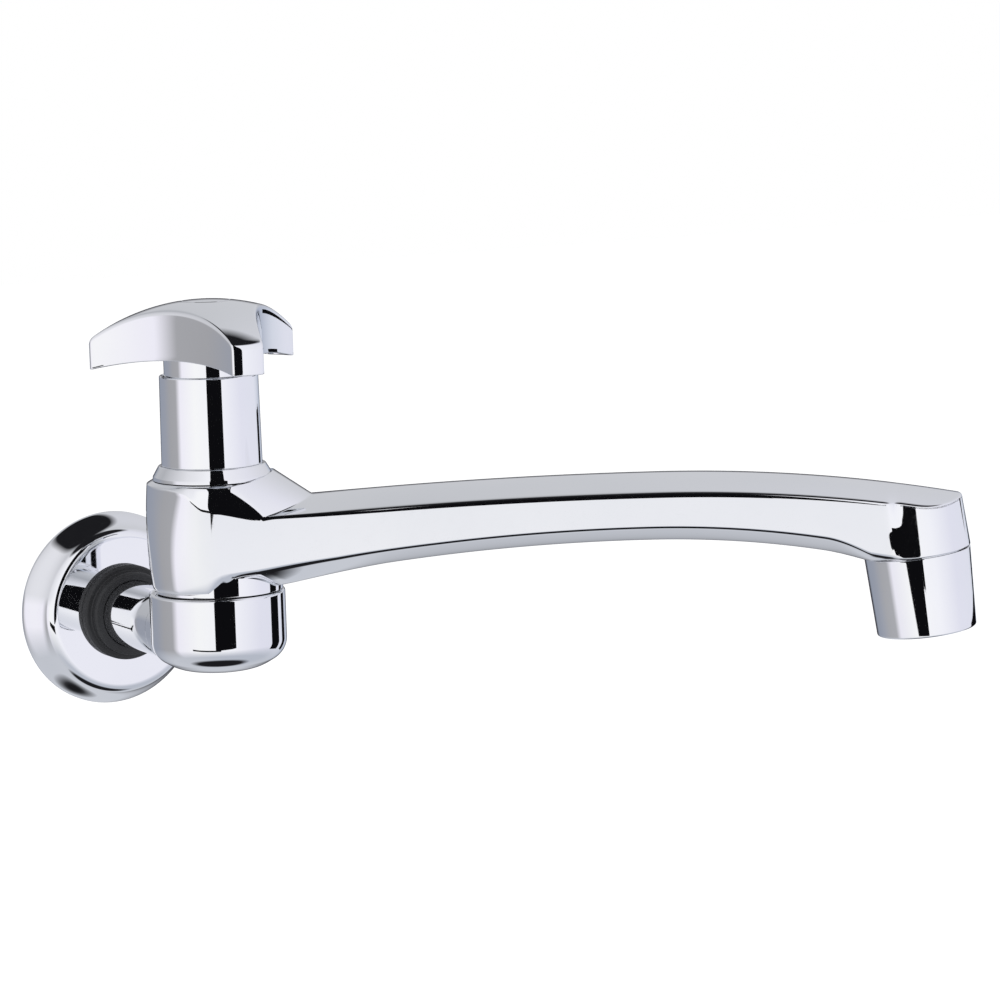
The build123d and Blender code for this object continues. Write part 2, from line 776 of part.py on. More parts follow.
# ---- handle ---------------------------------------------------------------
def handle_outline(reach, half, waist):
    """Three-pointed plan with hollow sides and slightly bulged arm ends."""
    edges = []
    for index in range(3):
        angle = radians(120 * index)
        ahead = radians(120 * (index + 1))
        tip_left = (reach * cos(angle) - half * sin(angle), reach * sin(angle) + half * cos(angle))
        tip_right = (reach * cos(angle) + half * sin(angle), reach * sin(angle) - half * cos(angle))
        next_right = (reach * cos(ahead) + half * sin(ahead), reach * sin(ahead) - half * cos(ahead))
        between = (waist * cos((angle + ahead) / 2), waist * sin((angle + ahead) / 2))
        nose = ((reach + handle_nose) * cos(angle), (reach + handle_nose) * sin(angle))
        edges.append(ThreePointArc(tip_right, nose, tip_left))
        edges.append(ThreePointArc(tip_left, between, next_right))
    return make_face(edges)


def sphere_under(apex_z, radius):
    """Large ball whose top is at a given height."""
    return Pos(0, 0, apex_z - radius) * Sphere(radius)


def screw_bottom_z():
    """Height of the handle screw's point."""
    return screw_head_z() - screw_length


def screw_head_z():
    """Underside of the handle screw's head."""
    return handle_apex_z - cap_depth - loose_gap - screw_head_height


def handle_body():
    """Hollow three-armed handle with its hub, socket and screw well."""
    base = handle_tip_z - past
    height = handle_height + 2 * past
    outline = handle_outline(handle_reach, handle_tip_half_width, handle_waist)
    inner_outline = handle_outline(
        handle_reach - handle_wall, handle_tip_half_width - handle_tip_wall, handle_waist - handle_wall
    )
    arch_radius = (handle_reach**2 + handle_arch**2) / (2 * handle_arch)
    dome = sphere_under(handle_apex_z, handle_dome_radius)
    inner_dome = sphere_under(handle_apex_z - handle_wall, handle_dome_radius - handle_wall)
    arch = sphere_under(handle_tip_z + handle_arch, arch_radius)
    outer = extrude(Pos(0, 0, base) * outline, height) & dome
    inner = extrude(Pos(0, 0, base) * inner_outline, height) & inner_dome
    shell = outer - inner - arch
    hub = ring(handle_hub_radius - handle_wall, handle_hub_radius, handle_hub_z, handle_apex_z)
    hub += rod(handle_boss_radius, handle_hub_z, handle_apex_z)
    hub &= sphere_under(handle_apex_z - handle_wall / 2, handle_dome_radius - handle_wall / 2)
    shape = shell + hub
    socket = spindle_drive + 2 * running_gap
    depth = spindle_drive_length + 2 * running_gap
    drive = extrude(Rectangle(socket, socket), depth) & rod(spindle_radius + running_gap, 0, depth)
    shape -= Pos(0, 0, drive_bottom_z - running_gap) * drive
    shape -= rod(screw_radius + running_gap, drive_bottom_z, handle_apex_z)
    shape -= rod(screw_head_radius + running_gap, screw_head_z(), handle_apex_z)
    shape -= rod(cap_radius + running_gap, handle_apex_z - cap_depth, handle_apex_z + past)
    return on_swivel_axis(Rot(0, 0, rest_handle_angle) * shape)


def handle_screw():
    """Screw that holds the handle on the spindle."""
    top = screw_head_z() + screw_head_height
    shape = rod(screw_radius, screw_bottom_z(), screw_head_z())
    shape += rod(screw_head_radius, screw_head_z(), top)
    length = 2 * (screw_head_radius + past)
    slot = Box(length, screw_slot_width, screw_slot_depth, align=(Align.CENTER, Align.CENTER, Align.MAX))
    return on_swivel_axis(shape - Pos(0, 0, top) * slot)


def index_cap():
    """Flush cap that follows the dome over the screw."""
    bottom = handle_apex_z - cap_depth + face_gap
    shape = rod(cap_radius, bottom, handle_apex_z + past)
    return on_swivel_axis(shape & sphere_under(handle_apex_z, handle_dome_radius))


# ---- the assembly ---------------------------------------------------------
pieces = {
    "wall_flange": wall_flange,
    "neck_seal": neck_seal,
    "valve_body": valve_body,
    "lower_spout_seal": lambda: spout_seal(lower_ring_z()),
    "upper_spout_seal": lambda: spout_seal(upper_ring_z()),
    "slip_washer": slip_washer,
    "slip_ring": slip_ring,
    "retaining_collar": retaining_collar,
    "spout": spout,
    "nozzle_shell": nozzle_shell,
    "aerator_gasket": aerator_gasket,
    "aerator_housing": aerator_housing,
    "aerator_diffuser": aerator_diffuser,
    "aerator_screen_upper": lambda: aerator_screen(1),
    "aerator_screen_lower": lambda: aerator_screen(2),
    "bonnet_gasket": bonnet_gasket,
    "bonnet": bonnet,
    "gland_packing": gland_packing,
    "packing_washer": packing_washer,
    "gland_nut": gland_nut,
    "sleeve": sleeve,
    "spindle": spindle,
    "jumper_valve": jumper_valve,
    "jumper_washer": jumper_washer,
    "jumper_nut": jumper_nut,
    "handle_body": handle_body,
    "handle_screw": handle_screw,
    "index_cap": index_cap,
}

os.makedirs("parts", exist_ok=True)
for name, make in pieces.items():
    export_step(make(), f"parts/{name}.step")
    print(name)
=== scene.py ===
import json
import logging
from dataclasses import dataclass, field
from enum import Enum
from math import atan2, cos, pi, radians, sin, sqrt, tan
from typing import Any, Callable, Sequence

import bmesh
import bpy
import numpy as np
from mathutils import Matrix, Vector


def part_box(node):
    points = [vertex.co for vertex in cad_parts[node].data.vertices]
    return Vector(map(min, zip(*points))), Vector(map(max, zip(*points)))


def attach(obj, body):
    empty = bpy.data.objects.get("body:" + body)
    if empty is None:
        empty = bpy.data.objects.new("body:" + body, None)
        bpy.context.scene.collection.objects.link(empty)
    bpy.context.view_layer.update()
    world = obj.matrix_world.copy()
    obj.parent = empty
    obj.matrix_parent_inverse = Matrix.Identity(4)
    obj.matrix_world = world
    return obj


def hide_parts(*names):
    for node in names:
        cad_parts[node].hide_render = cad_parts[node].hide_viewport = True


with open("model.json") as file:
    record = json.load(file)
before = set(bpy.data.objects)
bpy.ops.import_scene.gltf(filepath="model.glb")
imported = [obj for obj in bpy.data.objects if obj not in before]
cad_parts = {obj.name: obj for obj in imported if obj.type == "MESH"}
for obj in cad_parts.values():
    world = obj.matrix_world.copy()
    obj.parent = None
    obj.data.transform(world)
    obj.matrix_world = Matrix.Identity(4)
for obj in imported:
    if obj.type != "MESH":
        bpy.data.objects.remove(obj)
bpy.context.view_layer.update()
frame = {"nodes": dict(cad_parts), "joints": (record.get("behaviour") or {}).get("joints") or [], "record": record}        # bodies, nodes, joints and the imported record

# The looks of a wall-mounted kitchen tap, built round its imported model. Shapes are worked out in
# millimetres and turned into metres when a mesh is made. Z is up, the wall is the plane Y = 0.

METRES = 0.001         # in one millimetre
MERGE_DISTANCE = 1e-6  # metres
SHARP_ANGLE = radians(38.0)
TURNS = 256            # columns round a turned piece
FEWER_TURNS = 128      # for small and hidden pieces
CLEARANCE = 0.05       # millimetres between pieces that touch in the solids
ROUND_SHARE = 0.48     # of a straight run, at most, goes into the rounding of each corner

log = logging.getLogger("tap")
Grid = np.ndarray      # points, with x, y, z (or radius, height) last
Values = np.ndarray    # one number for each point
Plan = dict[str, Values]
Colour = tuple[float, float, float]
Corner = tuple[float, float, float]    # radius, height and the radius that rounds it
Pair = tuple[float, float]


# ---- what the frame says ------------------------------------------------------------------------
def node_span(node: str, axis: int) -> Pair:
    """Lowest and highest place of a node along one axis.

    Args:
        node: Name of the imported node.
        axis: 0, 1 or 2 for X, Y or Z.

    Returns:
        Both places, in millimetres.
    """
    low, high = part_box(node)
    return low[axis] / METRES, high[axis] / METRES


def joint_place(name: str) -> np.ndarray:
    """A joint's point in millimetres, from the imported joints."""
    found = next(joint for joint in frame["joints"] if joint["name"] == name)
    return np.array(found["pos_m"]) / METRES


def mount(name: str) -> dict:
    """One of the record's mounts."""
    return next(entry for entry in frame["record"]["mounts"] if entry["name"] == name)


SWIVEL = joint_place("spout_swivel") * np.array([1.0, 1.0, 0.0])
OUTLET = np.array(mount("nozzle_outlet")["pos_m"]) / METRES
OUTLET_AXIS = np.array(mount("nozzle_outlet")["axis"])
SPOUT_ANGLE = atan2(OUTLET_AXIS[1], OUTLET_AXIS[0])
NOZZLE_TILT = atan2(sqrt(OUTLET_AXIS[0] ** 2 + OUTLET_AXIS[1] ** 2), -OUTLET_AXIS[2])


# ---- shared geometry ----------------------------------------------------------------------------
def smooth_step(value: Values, start: float, end: float) -> Values:
    """Share from 0 at start to 1 at end, as 3t^2 - 2t^3 of the way between them."""
    share = np.clip((np.asarray(value, float) - start) / (end - start), 0.0, 1.0)
    return share * share * (3.0 - 2.0 * share)


def joined(*parts: Values | float) -> Grid:
    """Points with these coordinates, each one spread to the shape that all of them share."""
    return np.stack(np.broadcast_arrays(*parts), axis=-1)


def straight_rows(start: Grid, end: Grid, count: int) -> Grid:
    """Rows of points on straight lines between two rails.

    Args:
        start: First rail, one point per column.
        end: Last rail, which is left out.
        count: How many rows, the first rail included.

    Returns:
        Array of count rows; row i lies i / count of the way from start to end.
    """
    share = (np.arange(count) / count)[:, None, None]
    return start[None] * (1.0 - share) + end[None] * share


def corner_rows(start: Grid, corner: Grid, end: Grid, count: int) -> Grid:
    """Rows that round a corner between two rails.

    Each column is a conic from start to end that leaves and arrives along the lines to the
    corner. Its weight is the cosine of half the turn, so equal legs give a circular arc.

    Args:
        start: Rail where the rounding begins.
        corner: Rail of the sharp corner.
        end: Rail where the rounding ends, which is left out.
        count: How many rows.

    Returns:
        Array of count rows.
    """
    ahead = corner - start
    beyond = end - corner
    lengths = np.linalg.norm(ahead, axis=-1) * np.linalg.norm(beyond, axis=-1)
    turn = np.clip((ahead * beyond).sum(-1) / np.maximum(lengths, 1e-12), -1.0, 1.0)
    weight = np.sqrt((1.0 + turn) / 2.0)[..., None]
    share = (np.arange(count) / count).reshape((-1,) + (1,) * corner.ndim)
    first, middle, last = (1 - share) ** 2, 2 * weight * share * (1 - share), share**2
    return (first * start + middle * corner + last * end) / (first + middle + last)


def outline(corners: Sequence[Corner], steps: int = 7, closed: bool = True, margin: float = 0.25) -> Grid:
    """Round the corners of a (radius, height) outline.

    Args:
        corners: Radius, height and corner radius of each point; a corner radius of 0 stays sharp.
        steps: Points on each rounded corner.
        closed: Whether the last point joins the first.
        margin: How far beyond each corner a run gets one more point, which keeps it flat.

    Returns:
        Array of (radius, height) points.
    """
    points = np.array([corner[:2] for corner in corners], float)
    count = len(points)
    made: list[np.ndarray] = []
    for index, (_, _, radius) in enumerate(corners):
        here = points[index]
        if not closed and index in (0, count - 1):
            made.append(here[None])
            continue
        back = points[index - 1] - here
        on = points[(index + 1) % count] - here
        back_length, on_length = np.linalg.norm(back), np.linalg.norm(on)
        back, on = back / back_length, on / on_length
        turn = pi - np.arccos(np.clip(back @ on, -1.0, 1.0))
        reach = min(radius * tan(turn / 2), ROUND_SHARE * back_length, ROUND_SHARE * on_length)
        hold_back = min(reach + margin, 0.5 * back_length)
        hold_on = min(reach + margin, 0.5 * on_length)
        made.append((here + back * hold_back)[None])
        if reach > 1e-4:
            made.append(corner_rows(here + back * reach, here, here + on * reach, steps))
            made.append((here + on * reach)[None])
        else:
            made.append(here[None])
        made.append((here + on * hold_on)[None])
    return np.concatenate(made)


def revolved(profile: Grid, turns: int = TURNS) -> Grid:
    """Turn a profile about Z: x = radius cos(angle), y = radius sin(angle), z = height.

    Args:
        profile: Rows of (radius, height).
        turns: Columns of the grid.

    Returns:
        Grid of points, one row per profile point.
    """
    angle = 2 * pi * np.arange(turns) / turns
    radius, height = profile[:, :1], profile[:, 1:2]
    return joined(radius * np.cos(angle), radius * np.sin(angle), height)


def on_swivel_axis(points: Grid) -> Grid:
    """Move points drawn about Z to the swivel axis."""
    return points + SWIVEL


def on_inlet_axis(points: Grid) -> Grid:
    """Turn points drawn about Z so that their Z runs from the wall into the room."""
    return joined(points[..., 0], -points[..., 2], points[..., 1])


def on_spout(points: Grid) -> Grid:
    """Turn points drawn with the spout along +X to the spout's rest direction."""
    x, y, z = points[..., 0], points[..., 1], points[..., 2]
    c, s = cos(SPOUT_ANGLE), sin(SPOUT_ANGLE)
    return joined(c * x - s * y, s * x + c * y, z) + SWIVEL


def on_nozzle(points: Grid) -> Grid:
    """Place points drawn with Z = 0 at the nozzle's mouth and +Z up its leaning axis."""
    x, y, z = points[..., 0], points[..., 1], points[..., 2]
    c, s = cos(NOZZLE_TILT), sin(NOZZLE_TILT)
    return on_spout(joined(c * x - s * z, y, s * x + c * z)) - SWIVEL + OUTLET


class Skin:
    """Surface put together from grids of points, in millimetres."""

    def __init__(self) -> None:
        """Start with no points."""
        self.points: list[np.ndarray] = []
        self.quads: list[np.ndarray] = []
        self.total = 0

    def add(self, grid: Grid, wrap_rows: bool = False, wrap_columns: bool = True) -> "Skin":
        """Add one grid.

        Args:
            grid: Rows by columns by 3.
            wrap_rows: Whether the last row joins the first.
            wrap_columns: Whether the last column joins the first.

        Returns:
            The same skin.
        """
        rows, columns = grid.shape[:2]
        index = np.arange(rows * columns).reshape(rows, columns) + self.total
        if wrap_rows:
            index = np.vstack([index, index[:1]])
        if wrap_columns:
            index = np.hstack([index, index[:, :1]])
        corners = [index[:-1, :-1], index[:-1, 1:], index[1:, 1:], index[1:, :-1]]
        self.quads.append(np.stack(corners, axis=-1).reshape(-1, 4))
        self.points.append(grid.reshape(-1, 3))
        self.total += rows * columns
        return self

    def build(self, name: str, sharp: float = SHARP_ANGLE) -> bpy.types.Object:
        """Make the object: points that coincide are merged and faces turned outwards.

        Args:
            name: Name of the piece.
            sharp: Edges that turn more than this stay sharp.

        Returns:
            The new object, linked to the scene.
        """
        points = np.concatenate(self.points) * METRES
        quads = np.concatenate(self.quads)
        mesh = bpy.data.meshes.new(name)
        mesh.vertices.add(len(points))
        mesh.vertices.foreach_set("co", points.ravel())
        mesh.loops.add(quads.size)
        mesh.loops.foreach_set("vertex_index", quads.ravel())
        mesh.polygons.add(len(quads))
        mesh.polygons.foreach_set("loop_start", np.arange(len(quads)) * 4)
        mesh.update(calc_edges=True)
        work = bmesh.new()
        work.from_mesh(mesh)
        bmesh.ops.remove_doubles(work, verts=work.verts, dist=MERGE_DISTANCE)
        bmesh.ops.dissolve_degenerate(work, edges=work.edges, dist=MERGE_DISTANCE / 2)
        bmesh.ops.recalc_face_normals(work, faces=work.faces)
        work.to_mesh(mesh)
        work.free()
        mesh.shade_smooth()
        mesh.set_sharp_from_angle(angle=sharp)
        piece = bpy.data.objects.new(name, mesh)
        bpy.context.scene.collection.objects.link(piece)
        return piece


def lathe(profile: Grid, place: Callable[[Grid], Grid], closed: bool = True, turns: int = TURNS) -> Skin:
    """Skin of one turned profile.

    Args:
        profile: Rows of (radius, height).
        place: Function that puts the grid in its place.
        closed: Whether the profile's last point joins its first.
        turns: Columns round the axis.

    Returns:
        A skin with the turned surface.
    """
    return Skin().add(place(revolved(profile, turns)), wrap_rows=closed)


# ---- node trees ---------------------------------------------------------------------------------
class Tree:
    """Node tree of a material or world, wired up as its nodes are made."""

    def __init__(self, owner: bpy.types.Material | bpy.types.World, empty: bool = True) -> None:
        """Open the owner's tree.

        Args:
            owner: Material or world.
            empty: Whether to clear the nodes that it starts with.
        """
        owner.use_nodes = True
        self.nodes, self.links = owner.node_tree.nodes, owner.node_tree.links
        if empty:
            self.nodes.clear()

    def fill(self, node: bpy.types.Node, inputs: dict[str | int, Any]) -> bpy.types.Node:
        """Set or wire a node's inputs.

        Args:
            node: The node.
            inputs: What each input gets, by its name or number: an output socket is wired to it,
                and anything else is set on it.

        Returns:
            The same node.
        """
        for key, value in inputs.items():
            if isinstance(value, bpy.types.NodeSocket):
                self.links.new(value, node.inputs[key])
            else:
                node.inputs[key].default_value = value
        return node

    def add(self, kind: str, inputs: dict[str | int, Any] | None = None) -> bpy.types.Node:
        """Make a node of a kind, named without the ShaderNode in front, and fill its inputs."""
        return self.fill(self.nodes.new("ShaderNode" + kind), inputs or {})

    def maths(self, operation: str, first: Any, second: Any) -> bpy.types.NodeSocket:
        """Result of a Math node on two sockets or numbers."""
        node = self.add("Math")
        node.operation = operation
        return self.fill(node, {0: first, 1: second}).outputs["Value"]

    def mix(self, factor: Any, below: Any, above: Any) -> bpy.types.NodeSocket:
        """Colour that goes from below to above with the factor."""
        node = self.add("Mix")
        node.data_type = "RGBA"
        return self.fill(node, {"Factor": factor, 6: below, 7: above}).outputs[2]

    def ramp(self, value: bpy.types.NodeSocket, stops: dict[float, Colour]) -> bpy.types.NodeSocket:
        """Colour that goes through the stops as the value goes from 0 to 1."""
        node = self.add("ValToRGB", {"Fac": value})
        elements = node.color_ramp.elements
        elements.remove(elements[1])
        for index, (position, colour) in enumerate(stops.items()):
            element = elements[0] if index == 0 else elements.new(position)
            element.position = position
            element.color = (*colour, 1.0)
        return node.outputs["Color"]

    def wide_ramp(
        self, value: bpy.types.NodeSocket, low: float, high: float, stops: dict[float, Colour]
    ) -> bpy.types.NodeSocket:
        """Colour that goes through the stops as the value goes from low to high."""
        share = self.add("MapRange", {"Value": value, "From Min": low, "From Max": high})
        placed = {(at - low) / (high - low): colour for at, colour in stops.items()}
        return self.ramp(share.outputs["Result"], placed)


# ---- finishes -----------------------------------------------------------------------------------
class Grain(Enum):
    """How the fine texture of a finish runs."""

    EVEN = (1.0, 1.0, 1.0)
    TURNED = (1.0, 1.0, 14.0)
    DRAWN = (6.0, 6.0, 1.0)


@dataclass(frozen=True)
class Finish:
    """A procedural finish, read from Object coordinates.

    Two noises drive it: a broad one shades the colour, and a fine one, stretched along the
    grain, gives the roughness its streaks and the surface its relief.
    """

    name: str
    light: Colour
    dark: Colour
    metallic: float = 0.0
    smooth: float = 0.3
    rough: float = 0.45
    broad_scale: float = 40.0
    fine_scale: float = 900.0
    relief: float = 0.0
    grain: Grain = Grain.EVEN
    specular: float = 0.5

    def material(self) -> bpy.types.Material:
        """Build the node tree.

        Returns:
            The material, made once and then reused.
        """
        known = bpy.data.materials.get(self.name)
        if known:
            return known
        made = bpy.data.materials.new(self.name)
        tree = Tree(made, empty=False)
        place = tree.add("TexCoord").outputs["Object"]
        broad = tree.add("TexNoise", {"Scale": self.broad_scale, "Detail": 4.0, "Vector": place})
        along = tree.add("Mapping", {"Scale": self.grain.value, "Vector": place}).outputs["Vector"]
        streaks = {"Scale": self.fine_scale, "Detail": 6.0, "Roughness": 0.6, "Vector": along}
        fine = tree.add("TexNoise", streaks).outputs["Fac"]
        gloss = {"From Min": 0.3, "From Max": 0.7, "To Min": self.smooth, "To Max": self.rough}
        surface = {
            "Metallic": self.metallic,
            "Specular IOR Level": self.specular,
            "Base Color": tree.ramp(broad.outputs["Fac"], {0.35: self.dark, 0.65: self.light}),
            "Roughness": tree.add("MapRange", {"Value": fine, **gloss}).outputs["Result"],
        }
        if self.relief:
            bump = {"Strength": 1.0, "Distance": self.relief * METRES, "Height": fine}
            surface["Normal"] = tree.add("Bump", bump).outputs["Normal"]
        tree.fill(tree.nodes["Principled BSDF"], surface)
        return made


CHROME_LIGHT = (1.0, 1.006, 1.02)      # shares of the shade, a little bluish
CHROME_DARK = (0.975, 0.984, 1.002)


def chrome(name: str, shade: float, grain: Grain = Grain.EVEN) -> Finish:
    """Bright chrome plate: nearly a mirror, with a faint polish grain.

    Args:
        name: Name of the material.
        shade: Mean reflectance.
        grain: Direction of the polish marks.

    Returns:
        The finish.
    """
    light, dark = (tuple(shade * share for share in tint) for tint in (CHROME_LIGHT, CHROME_DARK))
    return Finish(
        name, light, dark, metallic=1.0, smooth=0.012, rough=0.045,
        broad_scale=30.0, fine_scale=420.0, relief=0.00025, grain=grain,
    )


FINISHES: dict[str, Finish] = {
    "chrome_spout": chrome("chrome_cast_spout", 0.93),
    "chrome_body": chrome("chrome_cast_body", 0.92),
    "chrome_flange": chrome("chrome_pressed_flange", 0.93),
    "chrome_sleeve": chrome("chrome_turned_sleeve", 0.93, Grain.TURNED),
    "chrome_collar": chrome("chrome_turned_collar", 0.92, Grain.TURNED),
    "chrome_nozzle": chrome("chrome_turned_nozzle", 0.93, Grain.TURNED),
    "chrome_handle": chrome("chrome_cast_handle", 0.93),
    "chrome_cap": chrome("chrome_index_cap", 0.91),
    "brass": Finish(
        "machined_brass", (0.80, 0.62, 0.30), (0.70, 0.52, 0.24), metallic=1.0,
        smooth=0.16, rough=0.34, fine_scale=700.0, relief=0.004, grain=Grain.TURNED,
    ),
    "stainless": Finish(
        "stainless_wire", (0.66, 0.66, 0.66), (0.52, 0.53, 0.54), metallic=1.0,
        smooth=0.18, rough=0.35, fine_scale=1500.0, relief=0.002, grain=Grain.DRAWN,
    ),
    "black_rubber": Finish(
        "moulded_rubber", (0.030, 0.031, 0.034), (0.018, 0.018, 0.020),
        smooth=0.42, rough=0.62, fine_scale=1400.0, relief=0.02, specular=0.35,
    ),
    "packing": Finish(
        "graphited_packing", (0.17, 0.17, 0.18), (0.10, 0.10, 0.11),
        smooth=0.55, rough=0.8, fine_scale=1100.0, relief=0.05,
    ),
    "fibre": Finish(
        "red_fibre", (0.47, 0.17, 0.10), (0.36, 0.11, 0.07),
        smooth=0.6, rough=0.85, fine_scale=1600.0, relief=0.03,
    ),
    # Black, so that the thin seam between the cup and the spout renders dark: painted shade for the shadowed
    # gap there.
    "black_acetal": Finish(
        "black_acetal", (0.040, 0.040, 0.043), (0.028, 0.028, 0.030),
        smooth=0.3, rough=0.45, fine_scale=1200.0, relief=0.006,
    ),
    "aerator_plastic": Finish(
        "aerator_plastic", (0.78, 0.79, 0.80), (0.72, 0.73, 0.75),
        smooth=0.28, rough=0.42, fine_scale=1200.0, relief=0.006,
    ),
}


def cover(piece: bpy.types.Object, slot: str) -> None:
    """Give an object the finish of a slot as its only material."""
    piece.data.materials.clear()
    piece.data.materials.append(FINISHES[slot].material())


def dress(piece: bpy.types.Object, body: str, slot: str, *nodes: str) -> None:
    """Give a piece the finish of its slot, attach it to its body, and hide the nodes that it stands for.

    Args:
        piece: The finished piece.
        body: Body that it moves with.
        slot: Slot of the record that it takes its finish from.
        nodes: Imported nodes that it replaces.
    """
    cover(piece, slot)
    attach(piece, body)
    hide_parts(*nodes)
    log.info("%s on %s: %d faces", piece.name, body, len(piece.data.polygons))


def finish_packed_nodes() -> None:
    """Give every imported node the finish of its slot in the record."""
    slots = {part["node"]: part["material_slot"] for part in frame["record"]["subparts"]}
    for name, node in frame["nodes"].items():
        cover(node, slots[name])
        log.info("packed node %s: %s", name, slots[name])


# ---- wall flange and neck seal ------------------------------------------------------------------
@dataclass
class WallEnd:
    """Domed flange on the wall and the stepped rubber ring in front of it."""

    rim_radius: float = 27.1
    rim_edge: float = 0.8
    shoulder_radius: float = 20.4
    shoulder_round: float = 3.0
    rim_lean: float = radians(66.0)
    steepest: float = radians(69.0)
    wall: float = 1.5
    bore: float = 10.55
    seal_outer: float = 13.3
    seal_step: float = 11.6
    seal_base: float = 2.6
    neck: float = 9.32
    seal_soft: float = 0.7
    face_margin: float = 0.3
    hollow_inset: float = 0.6
    tube_wall: float = 2.2
    tube_back: float = 1.0
    shoulder_points: int = 18
    flare_points: int = 24

    def flange_profile(self) -> Grid:
        """Outer face of the flange from its bore to the wall, then back along its inside.

        The flare is a cubic curve: at the rim it leans by rim_lean, and it meets the shoulder's
        arc where that arc leans by steepest.

        Returns:
            Rows of (radius, distance from the wall).
        """
        depth = -node_span("wall_flange", 1)[0]
        centre = depth - self.shoulder_round
        angle = np.linspace(0.0, self.steepest, self.shoulder_points)[1:]
        arc = self.shoulder_round * joined(np.sin(angle), np.cos(angle))
        shoulder = np.array([self.shoulder_radius, centre]) + arc
        rim = np.array([self.rim_radius, self.rim_edge])
        chord = np.linalg.norm(shoulder[-1] - rim)
        leave = chord * np.array([cos(self.steepest), -sin(self.steepest)])
        arrive = chord * np.array([cos(self.rim_lean), -sin(self.rim_lean)])
        share = np.linspace(0.0, 1.0, self.flare_points)[1:, None]
        flare = (
            (2 * share**3 - 3 * share**2 + 1) * shoulder[-1]
            + (share**3 - 2 * share**2 + share) * leave
            + (3 * share**2 - 2 * share**3) * rim
            + (share**3 - share**2) * arrive
        )
        margin = self.face_margin
        radii = self.bore, self.bore + margin, self.shoulder_radius - margin, self.shoulder_radius
        front = np.array([[radius, depth] for radius in radii])
        inner, tube = self.shoulder_radius - self.hollow_inset, self.bore + self.tube_wall
        back = outline([
            (self.rim_radius, self.rim_edge, 0.0), (self.rim_radius, 0.0, 0.2),
            (self.rim_radius - 2 * self.wall, 0.0, 0.2), (inner, depth - self.wall, 2.0),
            (tube, depth - self.wall, 0.5), (tube, self.tube_back, 0.3),
            (self.bore, self.tube_back, 0.2), (self.bore, depth, 0.0),
        ], closed=False)
        return np.concatenate([front, shoulder, flare, back[1:-1]])

    def seal_profile(self) -> Grid:
        """Stepped ring with soft front edges, from the flange's face forwards."""
        low, high = node_span("neck_seal", 1)
        back, front = -high, -low
        step = back + self.seal_base
        return outline([
            (self.bore, back, 0.1), (self.seal_outer, back, 0.15),
            (self.seal_outer, step, self.seal_soft), (self.seal_step, step, 0.35),
            (self.seal_step, front, self.seal_soft), (self.neck, front, 0.3),
            (self.neck, step, 0.0), (self.bore, step, 0.0),
        ])

    def build(self) -> None:
        """Make and dress both pieces."""
        flange = lathe(self.flange_profile(), on_inlet_axis).build("flange_cover")
        dress(flange, "tap_body", "chrome_flange", "wall_flange")
        seal = lathe(self.seal_profile(), on_inlet_axis).build("neck_ring")
        dress(seal, "tap_body", "black_rubber", "neck_seal")


